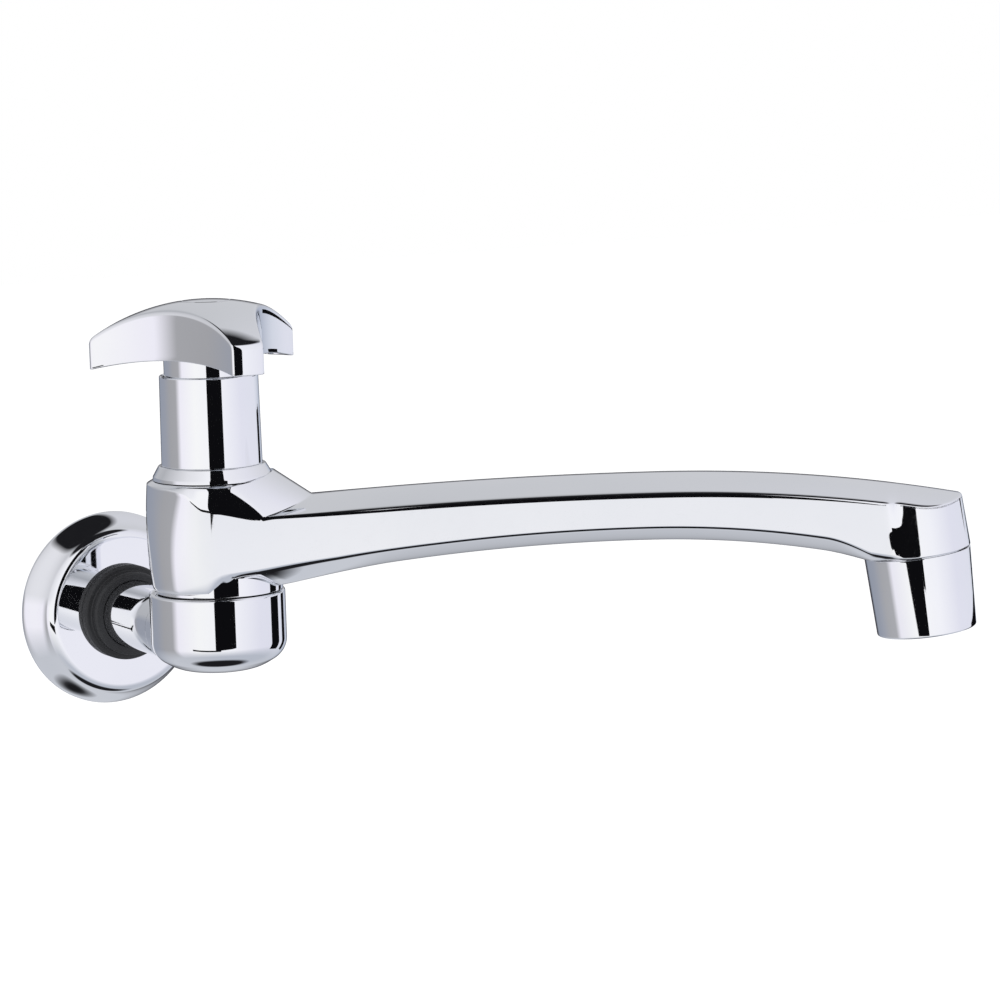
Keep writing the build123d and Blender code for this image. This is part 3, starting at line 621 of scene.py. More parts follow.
# ---- valve body ---------------------------------------------------------------------------------
@dataclass
class BodyCasting:
    """Round cup with its boss, neck, inlet thread and hidden riser."""

    cup_radius: float = 18.0
    cup_bottom: float = -7.5
    bevel: Pair = (7.2, 4.3)
    bevel_rounds: Pair = (12.0, 6.2)
    top_round: float = 0.7
    wall: float = 2.6
    riser_radius: float = 13.0
    chamber_radius: float = 9.0
    seat_z: float = 22.9
    seat_thickness: float = 3.4
    seat_bore: float = 5.8
    mouth_radius: float = 10.45
    mouth_depth: float = 13.0
    boss_radius: float = 9.9
    boss_back: float = 42.0
    boss_round: float = 1.6
    neck_radius: float = 9.3
    bore_radius: float = 6.0
    thread_radius: float = 10.48
    thread_front: float = 11.4
    relief_depth: float = 0.9
    relief_width: float = 1.0
    thread_pitch: float = 1.814
    thread_depth: float = 1.16
    thread_end_chamfer: float = 1.0
    thread_front_drop: float = 0.4
    thread_fade: Pair = (0.9, 1.2)
    relief_run: float = 0.6
    chamfer_run: float = 1.0
    boss_sink: float = 1.5

    def cup_profile(self) -> Grid:
        """Outside of the cup and riser, then the chambers inside them."""
        bottom, top = self.cup_bottom, node_span("valve_body", 2)[1]
        cup_top = node_span("slip_washer", 2)[0]
        return outline([
            (0.0, bottom, 0.0), (self.cup_radius - self.bevel[0], bottom, self.bevel_rounds[0]),
            (self.cup_radius, bottom + self.bevel[1], self.bevel_rounds[1]),
            (self.cup_radius, cup_top, self.top_round), (self.riser_radius, cup_top, 0.0),
            (self.riser_radius, top, 0.4), (self.mouth_radius, top, 0.3),
            (self.mouth_radius, top - self.mouth_depth, 0.0),
            (self.chamber_radius, top - self.mouth_depth, 0.0),
            (self.chamber_radius, self.seat_z, 0.3), (self.seat_bore, self.seat_z, 0.3),
            (self.seat_bore, self.seat_z - self.seat_thickness, 0.3),
            (self.chamber_radius, self.seat_z - self.seat_thickness, 0.3),
            (self.chamber_radius, bottom + self.wall, 1.0), (0.0, bottom + self.wall, 0.0),
        ], steps=14, closed=False)

    def inlet_profile(self) -> Grid:
        """Boss and neck from inside the cup to the wall, in distance from the wall."""
        start = self.inlet_start()
        front, groove = self.thread_radius - self.thread_front_drop, self.thread_radius - self.relief_depth
        return outline([
            (self.bore_radius, start, 0.0), (self.boss_radius, start, 0.0),
            (self.boss_radius, self.boss_back, self.boss_round),
            (self.neck_radius, self.boss_back, 0.0), (self.neck_radius, self.thread_front, 0.0),
            (front, self.thread_front, 0.2), (front, 0.0, 0.0), (groove, 0.0, 0.0),
            (groove, -self.relief_width, 0.0),
        ], closed=False)

    def inlet_start(self) -> float:
        """Distance from the wall at which the boss begins, a little inside the cup's wall."""
        return -SWIVEL[1] - self.cup_radius + self.boss_sink

    def thread_grid(self, turns: int, per_pitch: int = 10) -> Grid:
        """Inlet thread behind the wall.

        The radius falls from the crests by half the depth times 1 - cos of the phase, and the
        phase grows by one turn for each pitch along the axis and falls by one round the axis, so
        that the crest is a helix. The relief dies away over the last stretch at both ends.

        Args:
            turns: Columns round the axis.
            per_pitch: Rows in each pitch.

        Returns:
            Grid from the relief groove to the thread's end.
        """
        length = node_span("valve_body", 1)[1] - self.relief_width
        rows = int(length / self.thread_pitch * per_pitch)
        along = np.linspace(0.0, length, rows)[:, None]
        angle = 2 * pi * np.arange(turns)[None] / turns
        phase = 2 * pi * along / self.thread_pitch - angle
        first, last = self.thread_fade
        fade = smooth_step(along, 0.0, first) * (1 - smooth_step(along, length - last, length))
        radius = self.thread_radius - 0.5 * self.thread_depth * (1 - np.cos(phase)) * fade
        radius -= self.relief_depth * (1 - smooth_step(along, 0.0, self.relief_run))
        radius -= self.thread_end_chamfer * smooth_step(along, length - self.chamfer_run, length)
        return joined(radius * np.cos(angle), radius * np.sin(angle), -self.relief_width - along)

    def build(self, turns: int = 96) -> None:
        """Make the casting as one piece, with so many columns round the inlet, and dress it."""
        skin = lathe(self.cup_profile(), on_swivel_axis, closed=False)
        neck = revolved(self.inlet_profile(), turns)
        thread = self.thread_grid(turns)
        end = float(thread[-1, 0, 2])
        bore = revolved(np.array([[self.bore_radius, end], [self.bore_radius, 0.0]]), turns)
        whole = np.concatenate([neck, thread, bore])
        skin.add(on_inlet_axis(whole), wrap_rows=True)
        dress(skin.build("body_casting"), "tap_body", "chrome_body", "valve_body")


# ---- collar and sleeve --------------------------------------------------------------------------
@dataclass
class Headwork:
    """Tapered collar over the spout and the smooth sleeve that stands on it."""

    collar_lower: float = 15.8
    collar_upper: float = 14.1
    collar_bore: float = 13.05
    lip_bore: float = 15.3
    lip_drop: float = 0.4
    sleeve_lower: float = 13.3
    sleeve_upper: float = 13.0
    sleeve_wall: float = 0.9
    web_bore: float = 8.05
    web_rise: float = 7.0
    web_thickness: float = 1.0
    collar_shoulder: Pair = (0.15, 0.55)

    def build(self) -> None:
        """Make and dress both pieces."""
        bottom, top = node_span("retaining_collar", 2)
        inset, rise = self.collar_shoulder
        collar = outline([
            (self.collar_bore, bottom, 0.1), (self.lip_bore, bottom, 0.0),
            (self.lip_bore, bottom - self.lip_drop, 0.0),
            (self.collar_lower, bottom - self.lip_drop, 0.1),
            (self.collar_lower - inset, bottom + rise, 0.4), (self.collar_upper, top, 0.35),
            (self.collar_bore, top, 0.0),
        ])
        piece = lathe(collar, on_swivel_axis).build("collar_ring")
        dress(piece, "tap_body", "chrome_collar", "retaining_collar")
        bottom, top = node_span("sleeve", 2)
        inner = self.sleeve_upper - self.sleeve_wall
        web = bottom + self.web_rise
        sleeve = outline([
            (self.sleeve_lower - self.sleeve_wall, bottom, 0.2), (self.sleeve_lower, bottom, 0.25),
            (self.sleeve_upper, top, 0.45), (inner, top, 0.3),
            (inner, web + self.web_thickness, 0.3), (self.web_bore, web + self.web_thickness, 0.1),
            (self.web_bore, web, 0.1), (inner, web, 0.3),
        ])
        piece = lathe(sleeve, on_swivel_axis).build("smooth_sleeve")
        dress(piece, "tap_body", "chrome_sleeve", "sleeve")


# ---- spout --------------------------------------------------------------------------------------
@dataclass
class SpoutCasting:
    """Barrel, ramp, arched arm and round end as one closed skin.

    The plan outline at mid height is followed once round the spout. From each of its points a
    column runs inwards over the top to the middle line, and another down the wall and inwards
    under the belly. Distances are along the spout (x), across it (y) and up (z).

    Each pair named change, fade, front or shift is where a smooth step begins and ends. The
    radii of an arch are those before and after its apex. The brink is the narrow strip before the
    ramp's upper edge. Cheek and shade points give a height by the place along the spout, and the
    spigot is its outer radius, inner radius and reach.
    """

    length: float = 185.0
    barrel_radius: float = 17.95
    barrel_bulge: float = 0.0039
    barrel_widest_z: float = 30.5
    barrel_front: Pair = (-15.0, -1.0)
    barrel_sweep: float = radians(100.0)
    middle_turn: float = radians(55.0)
    top_radius: float = 16.2
    top_rise_squared: float = 160.0
    bore: float = 13.1
    bore_end: float = 5.5
    side_start: float = 3.1
    root_end: float = 46.0
    arm_end: float = 160.0
    root_flare: float = 3.8
    mid_z: float = 27.0
    half_width: float = 13.87
    side_lean: float = radians(6.6)
    side_curl: float = 0.0006
    end_lean: float = radians(-3.15)
    lean_change: Pair = (176.9, 180.4)
    change_slope: float = 0.02
    end_shift: Pair = (160.0, 184.0)
    crown_apex: Pair = (118.0, 41.7)
    crown_radii: Pair = (1245.0, 420.0)
    crown_drop: float = 3.85
    crown_drop_loss: float = 2.15
    drop_limit: float = 1.2
    belly_apex: Pair = (115.0, 24.1)
    belly_radii: Pair = (540.0, 260.0)
    joint_z: float = 19.3
    ramp_brink_x: Pair = (15.0, 15.85)
    ramp_brink_side: float = 5.7
    ramp_top_x: float = 16.0
    ramp_foot_x: float = 25.9
    ramp_top_edge: float = 6.0
    ramp_foot_edge: float = 14.3
    ramp_lift: float = 1.8
    ramp_power: float = 2.4
    cheek_points: tuple[Pair, ...] = (
        (-10.0, 42.4), (-5.0, 41.3), (-1.5, 37.6), (6.0, 35.8), (14.3, 33.6))
    cheek_power: float = 1.2
    cheek_gap: float = 0.2
    ridge_soft: float = 0.6
    ramp_soft: float = 1.5
    ramp_soft_start: float = -4.0
    ramp_soft_fade: Pair = (10.0, 18.0)
    soft_limit: float = 0.6
    belly_inset: float = 11.5
    inset_change: Pair = (-1.0, 8.0)
    belly_crease: float = 0.88
    crease_change: Pair = (-2.0, 12.0)
    shade_points: tuple[Pair, ...] = (
        (-9.0, 1.5), (0.0, 4.0), (4.0, 5.35), (12.0, 6.2), (33.0, 5.4), (60.0, 5.2))
    foot_inset: float = 0.8
    end_round: float = 0.4
    pedestal_radius: float = 16.3
    pedestal_flare: float = 1.2
    flare_change: Pair = (4.0, 16.0)
    lip_bore: float = 15.6
    lip_drop: float = 0.55
    pedestal_top: float = 20.5
    spigot: tuple[float, float, float] = (12.0, 9.8, 8.0)
    spigot_sink: float = 0.5
    sharp: float = radians(66.0)
    barrel_points: int = 44
    station_counts: tuple[int, ...] = (12, 30, 48, 60, 26)
    end_points: int = 34
    top_steps: int = 30
    ridge_steps: int = 6
    cheek_steps: int = 10
    wall_steps: int = 26
    tuck_steps: int = 9
    belly_steps: int = 16
    bore_points: int = 5

    def arch(self, x: Values, apex: Pair, radii: Pair) -> Values:
        """Height of an arch of two arcs that meet level at the apex."""
        radius = np.where(x < apex[0], radii[0], radii[1])
        return apex[1] - radius + np.sqrt(radius**2 - (x - apex[0]) ** 2)

    def plan(self) -> Plan:
        """Points of one side's plan outline, from the back of the barrel to the spout's end.

        The outline is the barrel's circle, then a half width that falls with the square of the
        distance to the end of the root, then the straight arm and the round end.

        Returns:
            x, y and the outward normal nx, ny of each point; middle, the place where its column
            reaches the middle line; bored, whether the column ends at the riser's bore before that;
            and the end point end_x, end_y.
        """
        back = self.barrel_sweep
        circle = np.linspace(0.0, back, self.barrel_points)[:-1]
        marks = (
            self.side_start, self.ramp_top_edge, self.ramp_foot_edge, self.root_end, self.arm_end, self.length
        )
        spans = zip(marks, marks[1:], self.station_counts)
        stations = np.concatenate([np.linspace(start, end, count)[:-1] for start, end, count in spans])
        front = np.linspace(0.0, pi / 2, self.end_points)
        root = self.root_end - self.side_start
        away = np.maximum(self.root_end - stations, 0.0) / root
        width = self.half_width + self.root_flare * away**2
        slope = -2 * self.root_flare * away / root
        size = np.sqrt(1 + slope**2)
        middle = np.interp(
            stations,
            [self.side_start, self.ramp_brink_side, self.ramp_top_edge, self.ramp_foot_edge, self.root_end],
            [*self.ramp_brink_x, self.ramp_top_x, self.ramp_foot_x, self.root_end],
        )
        middle = np.where(stations > self.root_end, stations, middle)
        barrel_middle = self.ramp_brink_x[0] * smooth_step(circle, self.middle_turn, back)
        middle = np.concatenate([barrel_middle, middle, 0 * front + self.length])
        before = stations <= self.bore_end
        last = stations[before][-1]
        turn = back + (pi - back) * np.minimum((stations - self.side_start) / (last - self.side_start), 1.0)
        turn = np.concatenate([circle, turn, 0 * front])
        bored = np.concatenate([circle < back, before, front < 0])
        tip_x, tip_y = self.length + self.half_width * np.sin(front), self.half_width * np.cos(front)
        return {
            "middle": middle,
            "bored": bored,
            "end_x": np.where(bored, -self.bore * np.cos(turn), middle),
            "end_y": np.where(bored, self.bore * np.sin(turn), 0.0),
            "x": np.concatenate([-self.barrel_radius * np.cos(circle), stations, tip_x]),
            "y": np.concatenate([self.barrel_radius * np.sin(circle), width, tip_y]),
            "nx": np.concatenate([-np.cos(circle), -slope / size, np.sin(front)]),
            "ny": np.concatenate([np.sin(circle), 1 / size, np.cos(front)]),
        }

    def top_z(self, x: Values, y: Values, middle: Values, ridge_y: Values) -> Values:
        """Height of the top: level on the barrel, the ramp, then the crowned arch.

        The crown falls with the square of the distance from the middle line. The ramp is straight
        from its upper edge, which rises towards the middle line, to the crown.
        """
        across = y / np.maximum(ridge_y, 1.0)
        edge = smooth_step(middle, self.ramp_brink_x[1], self.ramp_top_x)
        upper = node_span("spout", 2)[1] + self.ramp_lift * edge * (1 - across**2) ** 2
        ramp = np.clip((middle - self.ramp_top_x) / (self.ramp_foot_x - self.ramp_top_x), 0.0, 1.0)
        on_ramp = upper + (self.crown_z(self.foot_x(y, ridge_y), y, ridge_y) - upper) * ramp
        return np.where(middle >= self.ramp_foot_x, self.crown_z(x, y, ridge_y), on_ramp)

    def crown_z(self, x: Values, y: Values, ridge_y: Values) -> Values:
        """Height of the crowned arch."""
        away = np.clip((self.root_end - x) / (self.root_end - self.side_start), 0.0, self.drop_limit)
        drop = self.crown_drop - self.crown_drop_loss * away**2
        across = y / np.maximum(ridge_y, self.half_width)
        return self.arch(x, self.crown_apex, self.crown_radii) - drop * across**2

    def foot_x(self, y: Values, ridge_y: Values) -> Values:
        """Where the ramp's foot lies: it falls back with a power of the distance from the middle line."""
        share = y / np.maximum(ridge_y, 1.0)
        return self.ramp_foot_x - (self.ramp_foot_x - self.ramp_foot_edge) * share**self.ramp_power

    def wall_out(self, plan: Plan, z: Values) -> Values:
        """How far the wall stands outside the plan outline at a height.

        The barrel bulges with the square of the height from its widest ring, and the arm's and
        the end's walls lean; the root blends one into the other.
        """
        barrel = 1.0 - smooth_step(plan["x"], *self.barrel_front)
        end = smooth_step(plan["x"] - self.change_slope * (z - self.joint_z), *self.lean_change)
        lean = self.side_lean + (self.end_lean - self.side_lean) * end
        bulge = -self.barrel_bulge * (z - self.barrel_widest_z) ** 2
        leaning = np.tan(lean) * (z - self.mid_z) + self.side_curl * (1.0 - end) * (z - self.mid_z) ** 2
        return barrel * bulge + (1 - barrel) * leaning

    def at(self, plan: Plan, out: Values, z: Values) -> Grid:
        """Points outside the plan outline by out, at height z, leaning with the nozzle at the end."""
        lean = smooth_step(plan["x"], *self.end_shift) * tan(NOZZLE_TILT) * (z - self.joint_z)
        x, y = plan["x"] + plan["nx"] * out - lean, plan["y"] + plan["ny"] * out
        return joined(x, y, z)

    def top_rows(self, plan: Plan, ridge: Grid, across: Values) -> Grid:
        """Rows over the top at shares of the way from the middle line (0) to the ridge (1).

        Each column keeps its place on the middle line and bends back to the ridge with a power of
        the share, so that columns run along the ramp's upper edge and foot. Columns that end at
        the bore are straight.
        """
        ridge_y = ridge[:, 1]
        power = np.where(plan["bored"], 1.0, self.ramp_power)
        x = plan["end_x"] - (plan["end_x"] - ridge[:, 0]) * across**power
        y = plan["end_y"] + (ridge_y - plan["end_y"]) * across
        return joined(x, y, self.top_z(x, y, plan["middle"], ridge_y))

    def bottom_z(self, x: Values) -> Values:
        """Height of the underside: the barrel's foot, the belly's arch or the nozzle's joint."""
        joint = self.joint_z + (x - self.length) * tan(NOZZLE_TILT)
        belly = self.arch(np.minimum(x, self.length), self.belly_apex, self.belly_radii)
        return np.maximum(np.maximum(self.foot_z(), belly), joint)

    def foot_z(self) -> float:
        """Height of the barrel's foot, just clear of the slip washer."""
        return node_span("slip_washer", 2)[1] + CLEARANCE

    def settle(self, plan: Plan, z: Values, inset: Values | float, height: Callable[[Grid], Values]) -> Grid:
        """Rail where the wall meets the top or the belly.

        Args:
            plan: The plan outline.
            z: First heights.
            inset: How far the rail stands inside the wall.
            height: Function that gives the height of the top or belly over a rail.

        Returns:
            The rail, after three rounds of taking the height and moving along the wall to it.
        """
        for _ in range(3):
            z = height(self.at(plan, self.wall_out(plan, z) - inset, z))
        return self.at(plan, self.wall_out(plan, z) - inset, z)

    def half(self) -> Grid:
        """Grid of one side: top from the middle line outwards, wall, and underside back inwards."""
        plan = self.plan()
        x, end_x, end_y = plan["x"], plan["end_x"], plan["end_y"]
        fade = 1.0 - smooth_step(x, self.ramp_top_edge, self.ramp_foot_edge)
        inset = fade * (self.barrel_radius - self.barrel_bulge * self.top_rise_squared - self.top_radius)
        ridge = self.settle(
            plan, node_span("spout", 2)[1] + 0 * x, inset,
            lambda rail: self.top_z(rail[:, 0], rail[:, 1], plan["middle"], rail[:, 1]),
        )
        ridge_z = ridge[:, 2]
        cheek_z = np.minimum(np.interp(x, *np.array(self.cheek_points).T), ridge_z - self.cheek_gap)

        def wall(z: Values) -> Grid:
            """Wall points at a height, with the cheek that leans in towards the ridge."""
            rise = np.clip((z - cheek_z) / (ridge_z - cheek_z), 0.0, 1.0)
            return self.at(plan, self.wall_out(plan, z) - inset * rise**self.cheek_power, z)

        def wall_rows(start: Values, end: Values, steps: int) -> Grid:
            """Wall rows from one height down to another, which is left out."""
            return np.stack([wall(start + (end - start) * step / steps) for step in range(steps)])

        on_ramp = smooth_step(x, self.ramp_soft_start, self.ramp_top_edge)
        on_ramp = on_ramp * (1 - smooth_step(x, *self.ramp_soft_fade))
        soft = self.ridge_soft + (self.ramp_soft - self.ridge_soft) * on_ramp
        power = np.where(plan["bored"], 1.0, self.ramp_power)
        run = np.hypot((end_x - ridge[:, 0]) * power, end_y - ridge[:, 1])
        edge = 1.0 - np.minimum(soft / np.maximum(run, soft), self.soft_limit)
        inwards = 1.0 - np.arange(self.top_steps + 1) / self.top_steps
        top = self.top_rows(plan, ridge, edge * inwards[:, None])

        crisp = smooth_step(x, *self.end_shift)
        under_arm = smooth_step(x, *self.inset_change)
        round_height = np.interp(x, *np.array(self.shade_points).T)
        round_inset = self.foot_inset + (self.belly_inset - self.foot_inset) * under_arm
        round_height += (self.end_round - round_height) * crisp
        round_inset += (self.end_round - round_inset) * crisp
        low = self.settle(plan, self.bottom_z(ridge[:, 0]), 0.0, lambda rail: self.bottom_z(rail[:, 0]))
        wall_top_z, wall_foot_z = ridge_z - soft, low[:, 2] + round_height
        inward = joined(end_x - low[:, 0], end_y - low[:, 1])
        inward /= np.maximum(np.linalg.norm(inward, axis=-1, keepdims=True), 1e-6)
        tuck = low.copy()
        tuck[:, :2] += inward * round_inset[:, None]
        tuck[:, 1] = np.maximum(tuck[:, 1], 0.0)
        tuck[:, 2] = self.bottom_z(tuck[:, 0])
        crease = self.belly_crease * smooth_step(x, *self.crease_change) * (1 - crisp) * round_inset
        low[:, :2] += inward * crease[:, None]
        across = (np.arange(1, self.belly_steps + 1) / self.belly_steps)[:, None]
        floor_x = tuck[:, 0] + (end_x - tuck[:, 0]) * across
        floor_y = tuck[:, 1] + (end_y - tuck[:, 1]) * across
        rows = [
            top[::-1],
            corner_rows(top[0], ridge, wall(wall_top_z), self.ridge_steps)[1:],
            wall_rows(wall_top_z, cheek_z, self.cheek_steps),
            wall_rows(cheek_z, wall_foot_z, self.wall_steps),
            corner_rows(wall(wall_foot_z), low, tuck, self.tuck_steps),
            tuck[None],
            joined(floor_x, floor_y, self.bottom_z(floor_x)),
        ]
        return np.concatenate(rows)

    def pedestal(self) -> Grid:
        """Foot under the root: a disc whose radius grows with the place along the spout."""
        foot = self.foot_z()
        lip = foot - self.lip_drop
        section = [
            (self.bore, foot, 0.0), (self.lip_bore, foot, 0.0), (self.lip_bore, lip, 0.0),
            (self.pedestal_radius, lip, 0.1), (self.pedestal_radius, self.pedestal_top, 0.3),
            (self.bore, self.pedestal_top, 0.0),
        ]
        rows = revolved(outline(section))
        size = np.hypot(rows[..., 0], rows[..., 1])
        outer = smooth_step(size, self.bore, self.pedestal_radius)
        forward = smooth_step(rows[..., 0], *self.flare_change)
        wider = 1.0 + self.pedestal_flare / self.pedestal_radius * forward * outer
        return rows * joined(wider, wider, 1.0)

    def spigot_profile(self) -> Grid:
        """Short threaded tube under the joint, in height above the nozzle's mouth."""
        outer, inner, reach = self.spigot
        joint = (self.joint_z - OUTLET[2]) / cos(NOZZLE_TILT)
        low, high = joint - reach, joint + self.spigot_sink
        return outline([(inner, low, 0.2), (outer, low, 0.3), (outer, high, 0.0), (inner, high, 0.0)])

    def build(self) -> None:
        """Make the casting and dress it."""
        side = self.half()
        rise = np.linspace(0.0, 1.0, self.bore_points)[:, None, None]
        bore = (side[-1] + (side[0] - side[-1]) * rise)[:, self.plan()["bored"]]
        skin = Skin()
        for grid in (side, bore):
            skin.add(on_spout(grid), wrap_columns=False)
            skin.add(on_spout((grid * np.array([1.0, -1.0, 1.0]))[:, ::-1]), wrap_columns=False)
        skin.add(on_spout(self.pedestal()), wrap_rows=True)
        skin.add(on_nozzle(revolved(self.spigot_profile(), FEWER_TURNS)), wrap_rows=True)
        dress(skin.build("spout_casting", self.sharp), "swivel_spout", "chrome_spout", "spout")


# ---- nozzle and aerator -------------------------------------------------------------------------
@dataclass
class Nozzle:
    """Tapered ring at the spout's end, with the woven screens in its mouth."""

    upper_radius: float = 14.0
    lower_radius: float = 13.1
    length: float = 21.05
    bore: float = 12.05
    mouth_radius: float = 10.9
    ledge: float = 10.05
    mesh_radius: float = 9.15
    mesh_pitch: float = 0.92
    wire_radius: float = 0.11
    rim_width: float = 0.7
    rim_half: float = 0.2
    wire_sides: int = 4
    rim_turns: int = 96

    def ring_profile(self) -> Grid:
        """Section of the ring, in height above the mouth."""
        return outline([
            (self.mouth_radius, 0.0, 0.35), (self.lower_radius, 0.0, 0.5),
            (self.upper_radius, self.length, 0.25), (self.bore, self.length, 0.2),
            (self.bore, self.ledge, 0.1), (self.mouth_radius, self.ledge, 0.2),
        ])

    def screen(self, node: str) -> Skin:
        """Woven screen: each wire rises and falls as a sine along its run, over and under the others.

        Args:
            node: Packed disc whose place the screen takes.

        Returns:
            A skin of all wires and the rim.
        """
        height = self.node_height(node)
        count = int(self.mesh_radius / self.mesh_pitch)
        skin = Skin()
        around = 2 * pi * np.arange(self.wire_sides) / self.wire_sides
        for line in range(-count, count + 1):
            offset = line * self.mesh_pitch
            reach = sqrt(max(self.mesh_radius**2 - offset**2, 0.0))
            if reach < self.mesh_pitch:
                continue
            run = np.linspace(-reach, reach, 2 * int(reach / self.mesh_pitch * 2) + 3)[:, None]
            wave = self.wire_radius * np.sin(pi * (run / self.mesh_pitch + 0.5 + line))
            side = offset + self.wire_radius * np.cos(around)[None]
            lift = height + wave + self.wire_radius * np.sin(around)[None]
            skin.add(on_nozzle(joined(run, side, lift)))
            skin.add(on_nozzle(joined(side, run, lift - 2 * wave)))
        inner, outer = self.mesh_radius - self.rim_width, self.mesh_radius
        low, high = height - self.rim_half, height + self.rim_half
        rim = outline([(inner, low, 0.1), (outer, low, 0.1), (outer, high, 0.1), (inner, high, 0.1)], steps=3)
        return skin.add(on_nozzle(revolved(rim, self.rim_turns)), wrap_rows=True)

    def node_height(self, node: str) -> float:
        """Height of a packed disc's middle above the mouth, along the nozzle's axis."""
        low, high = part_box(node)
        middle = (np.array(low) + np.array(high)) / 2 / METRES - OUTLET
        return float(middle @ -OUTLET_AXIS)

    def build(self) -> None:
        """Make and dress the ring and both screens."""
        ring = lathe(self.ring_profile(), on_nozzle).build("nozzle_ring")
        dress(ring, "swivel_spout", "chrome_nozzle", "nozzle_shell")
        for node in ("aerator_screen_upper", "aerator_screen_lower"):
            mesh = self.screen(node).build(node.replace("aerator", "woven"))
            dress(mesh, "swivel_spout", "stainless", node)


# ---- handle -------------------------------------------------------------------------------------
@dataclass
class ArmHandle:
    """Domed three-armed handle with its hub, and the flush cap on top."""

    reach: float = 30.6
    tip_half: float = 4.3
    waist: float = 14.4
    nose: float = 0.5
    dome_radius: float = 53.6
    arch: float = 3.3
    wall: float = 2.0
    tip_wall: float = 1.2
    ridge_soft: float = 1.3
    rim_soft: float = 0.3
    hub_radius: float = 11.7
    boss_radius: float = 7.6
    cap_radius: float = 6.4
    cap_gap: float = 0.08
    screw_head: float = 3.9
    screw_shank: float = 2.1
    drive_radius: float = 4.1
    drive_length: float = 12.2
    head_height: float = 2.9
    rim_share: float = 0.3
    hub_soft: float = 0.2
    well_soft: float = 0.15
    well_edge: float = 0.5
    cap_soft: float = 0.2
    far_share: float = 0.8
    tip_depth: float = 1.0
    tip_points: int = 60
    tip_cut: int = 4
    hollow_points: int = 220
    hollow_cut: int = 3
    bend_points: int = 6
    dome_points: int = 40
    roof_points: int = 14
    cap_points: int = 14

    def arc(self, start: np.ndarray, through: np.ndarray, end: np.ndarray, count: int) -> Grid:
        """Points on the circle through three points, evenly spaced from start to end."""
        a, b, c = (complex(*point) for point in (start, through, end))
        ratio = (c - a) / (b - a)
        centre = (b - a) * (ratio - abs(ratio) ** 2) / (ratio - ratio.conjugate()) + a
        first = np.angle(a - centre)
        sweep = np.angle((c - centre) / (a - centre))
        middle = np.angle((b - centre) / (a - centre))
        if not 0 <= middle / sweep <= 1:
            sweep -= 2 * pi * np.sign(sweep)
        angle = first + sweep * np.linspace(0, 1, count)
        x, y = centre.real + abs(a - centre) * np.cos(angle), centre.imag + abs(a - centre) * np.sin(angle)
        return joined(x, y)

    def plan(self, reach: float, half: float, waist: float) -> Grid:
        """Three-pointed outline: a slightly bulged end on each arm and a hollow arc between arms.

        Every arc stops short of the corners, and a small conic joins it to the next one.

        Args:
            reach: Axis to an arm's end.
            half: Half the width of an arm's end.
            waist: Axis to the middle of each hollow side.

        Returns:
            Rows of (x, y), counter-clockwise, with the same count for any size.
        """
        rotation, tip_cut, hollow_cut = self.rest_angle(), self.tip_cut, self.hollow_cut

        def place(radius: float, angle: float, left: float = 0.0) -> np.ndarray:
            """Plan point so far out in a direction, and so far to the left of it."""
            return radius * np.array([cos(angle), sin(angle)]) + left * np.array([-sin(angle), cos(angle)])

        def arm_end(angle: float) -> Grid:
            """Bulged end of the arm in a direction, from its right corner to its left one."""
            corners = place(reach, angle, -half), place(reach, angle, half)
            return self.arc(corners[0], place(reach + self.nose, angle), corners[1], self.tip_points)

        made: list[np.ndarray] = []
        for index in range(3):
            angle = rotation + index * 2 * pi / 3
            ahead = angle + 2 * pi / 3
            tip, far_tip = arm_end(angle), arm_end(ahead)
            next_right = place(reach, ahead, -half)
            hollow = self.arc(tip[-1], place(waist, angle + pi / 3), next_right, self.hollow_points)
            made.append(tip[tip_cut:-tip_cut:tip_cut])
            made.append(corner_rows(tip[-1 - tip_cut], tip[-1], hollow[hollow_cut], self.bend_points))
            made.append(hollow[hollow_cut:-hollow_cut:hollow_cut])
            bend = corner_rows(hollow[-1 - hollow_cut], next_right, far_tip[tip_cut], self.bend_points)
            made.append(bend[1:])
        return np.concatenate(made)

    def rest_angle(self) -> float:
        """Direction of one arm at rest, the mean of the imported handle's farthest points."""
        points = self.packed_points()
        distance = np.hypot(points[:, 0], points[:, 1])
        far = points[distance > self.reach + self.far_share * self.nose]
        third = 2 * pi / 3
        turned = np.arctan2(far[:, 1], far[:, 0]) * 3
        return float(np.arctan2(np.sin(turned).mean(), np.cos(turned).mean()) / 3 % third)

    def packed_points(self) -> np.ndarray:
        """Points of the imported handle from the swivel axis, in millimetres."""
        mesh = frame["nodes"]["handle_body"].data
        points = np.empty(len(mesh.vertices) * 3, np.float32)
        mesh.vertices.foreach_get("co", points)
        return points.reshape(-1, 3) / METRES - SWIVEL

    def dome(self, plan: Grid, apex: float, radius: float) -> Grid:
        """Points of a ball's top above plan points: apex - radius + sqrt(radius^2 - distance^2)."""
        return joined(plan[..., 0], plan[..., 1], apex - radius + np.sqrt(radius**2 - (plan**2).sum(-1)))

    def grid(self) -> Grid:
        """Closed skin of the handle as rows round the axis.

        The rows go over the dome from the cap's well to the outer wall, under its arched rim, up
        inside, down and up round the hub and boss, and through the screw hole back to the well.
        """
        low, apex = node_span("handle_body", 2)[0], node_span("index_cap", 2)[1]
        tip_z = self.tip_z()
        outer = self.plan(self.reach, self.tip_half, self.waist)
        inner = self.plan(self.reach - self.wall, self.tip_half - self.tip_wall, self.waist - self.wall)
        unit = outer / np.linalg.norm(outer, axis=-1, keepdims=True)
        arch_radius = (self.reach**2 + self.arch**2) / (2 * self.arch)

        def flat(radius: float, z: float) -> Grid:
            """Level ring of points at a radius and height, in the columns' directions."""
            return joined(*(unit * radius).T, z)

        def on_dome(points: Grid) -> Grid:
            """Points on the outer dome."""
            return self.dome(points, apex, self.dome_radius)

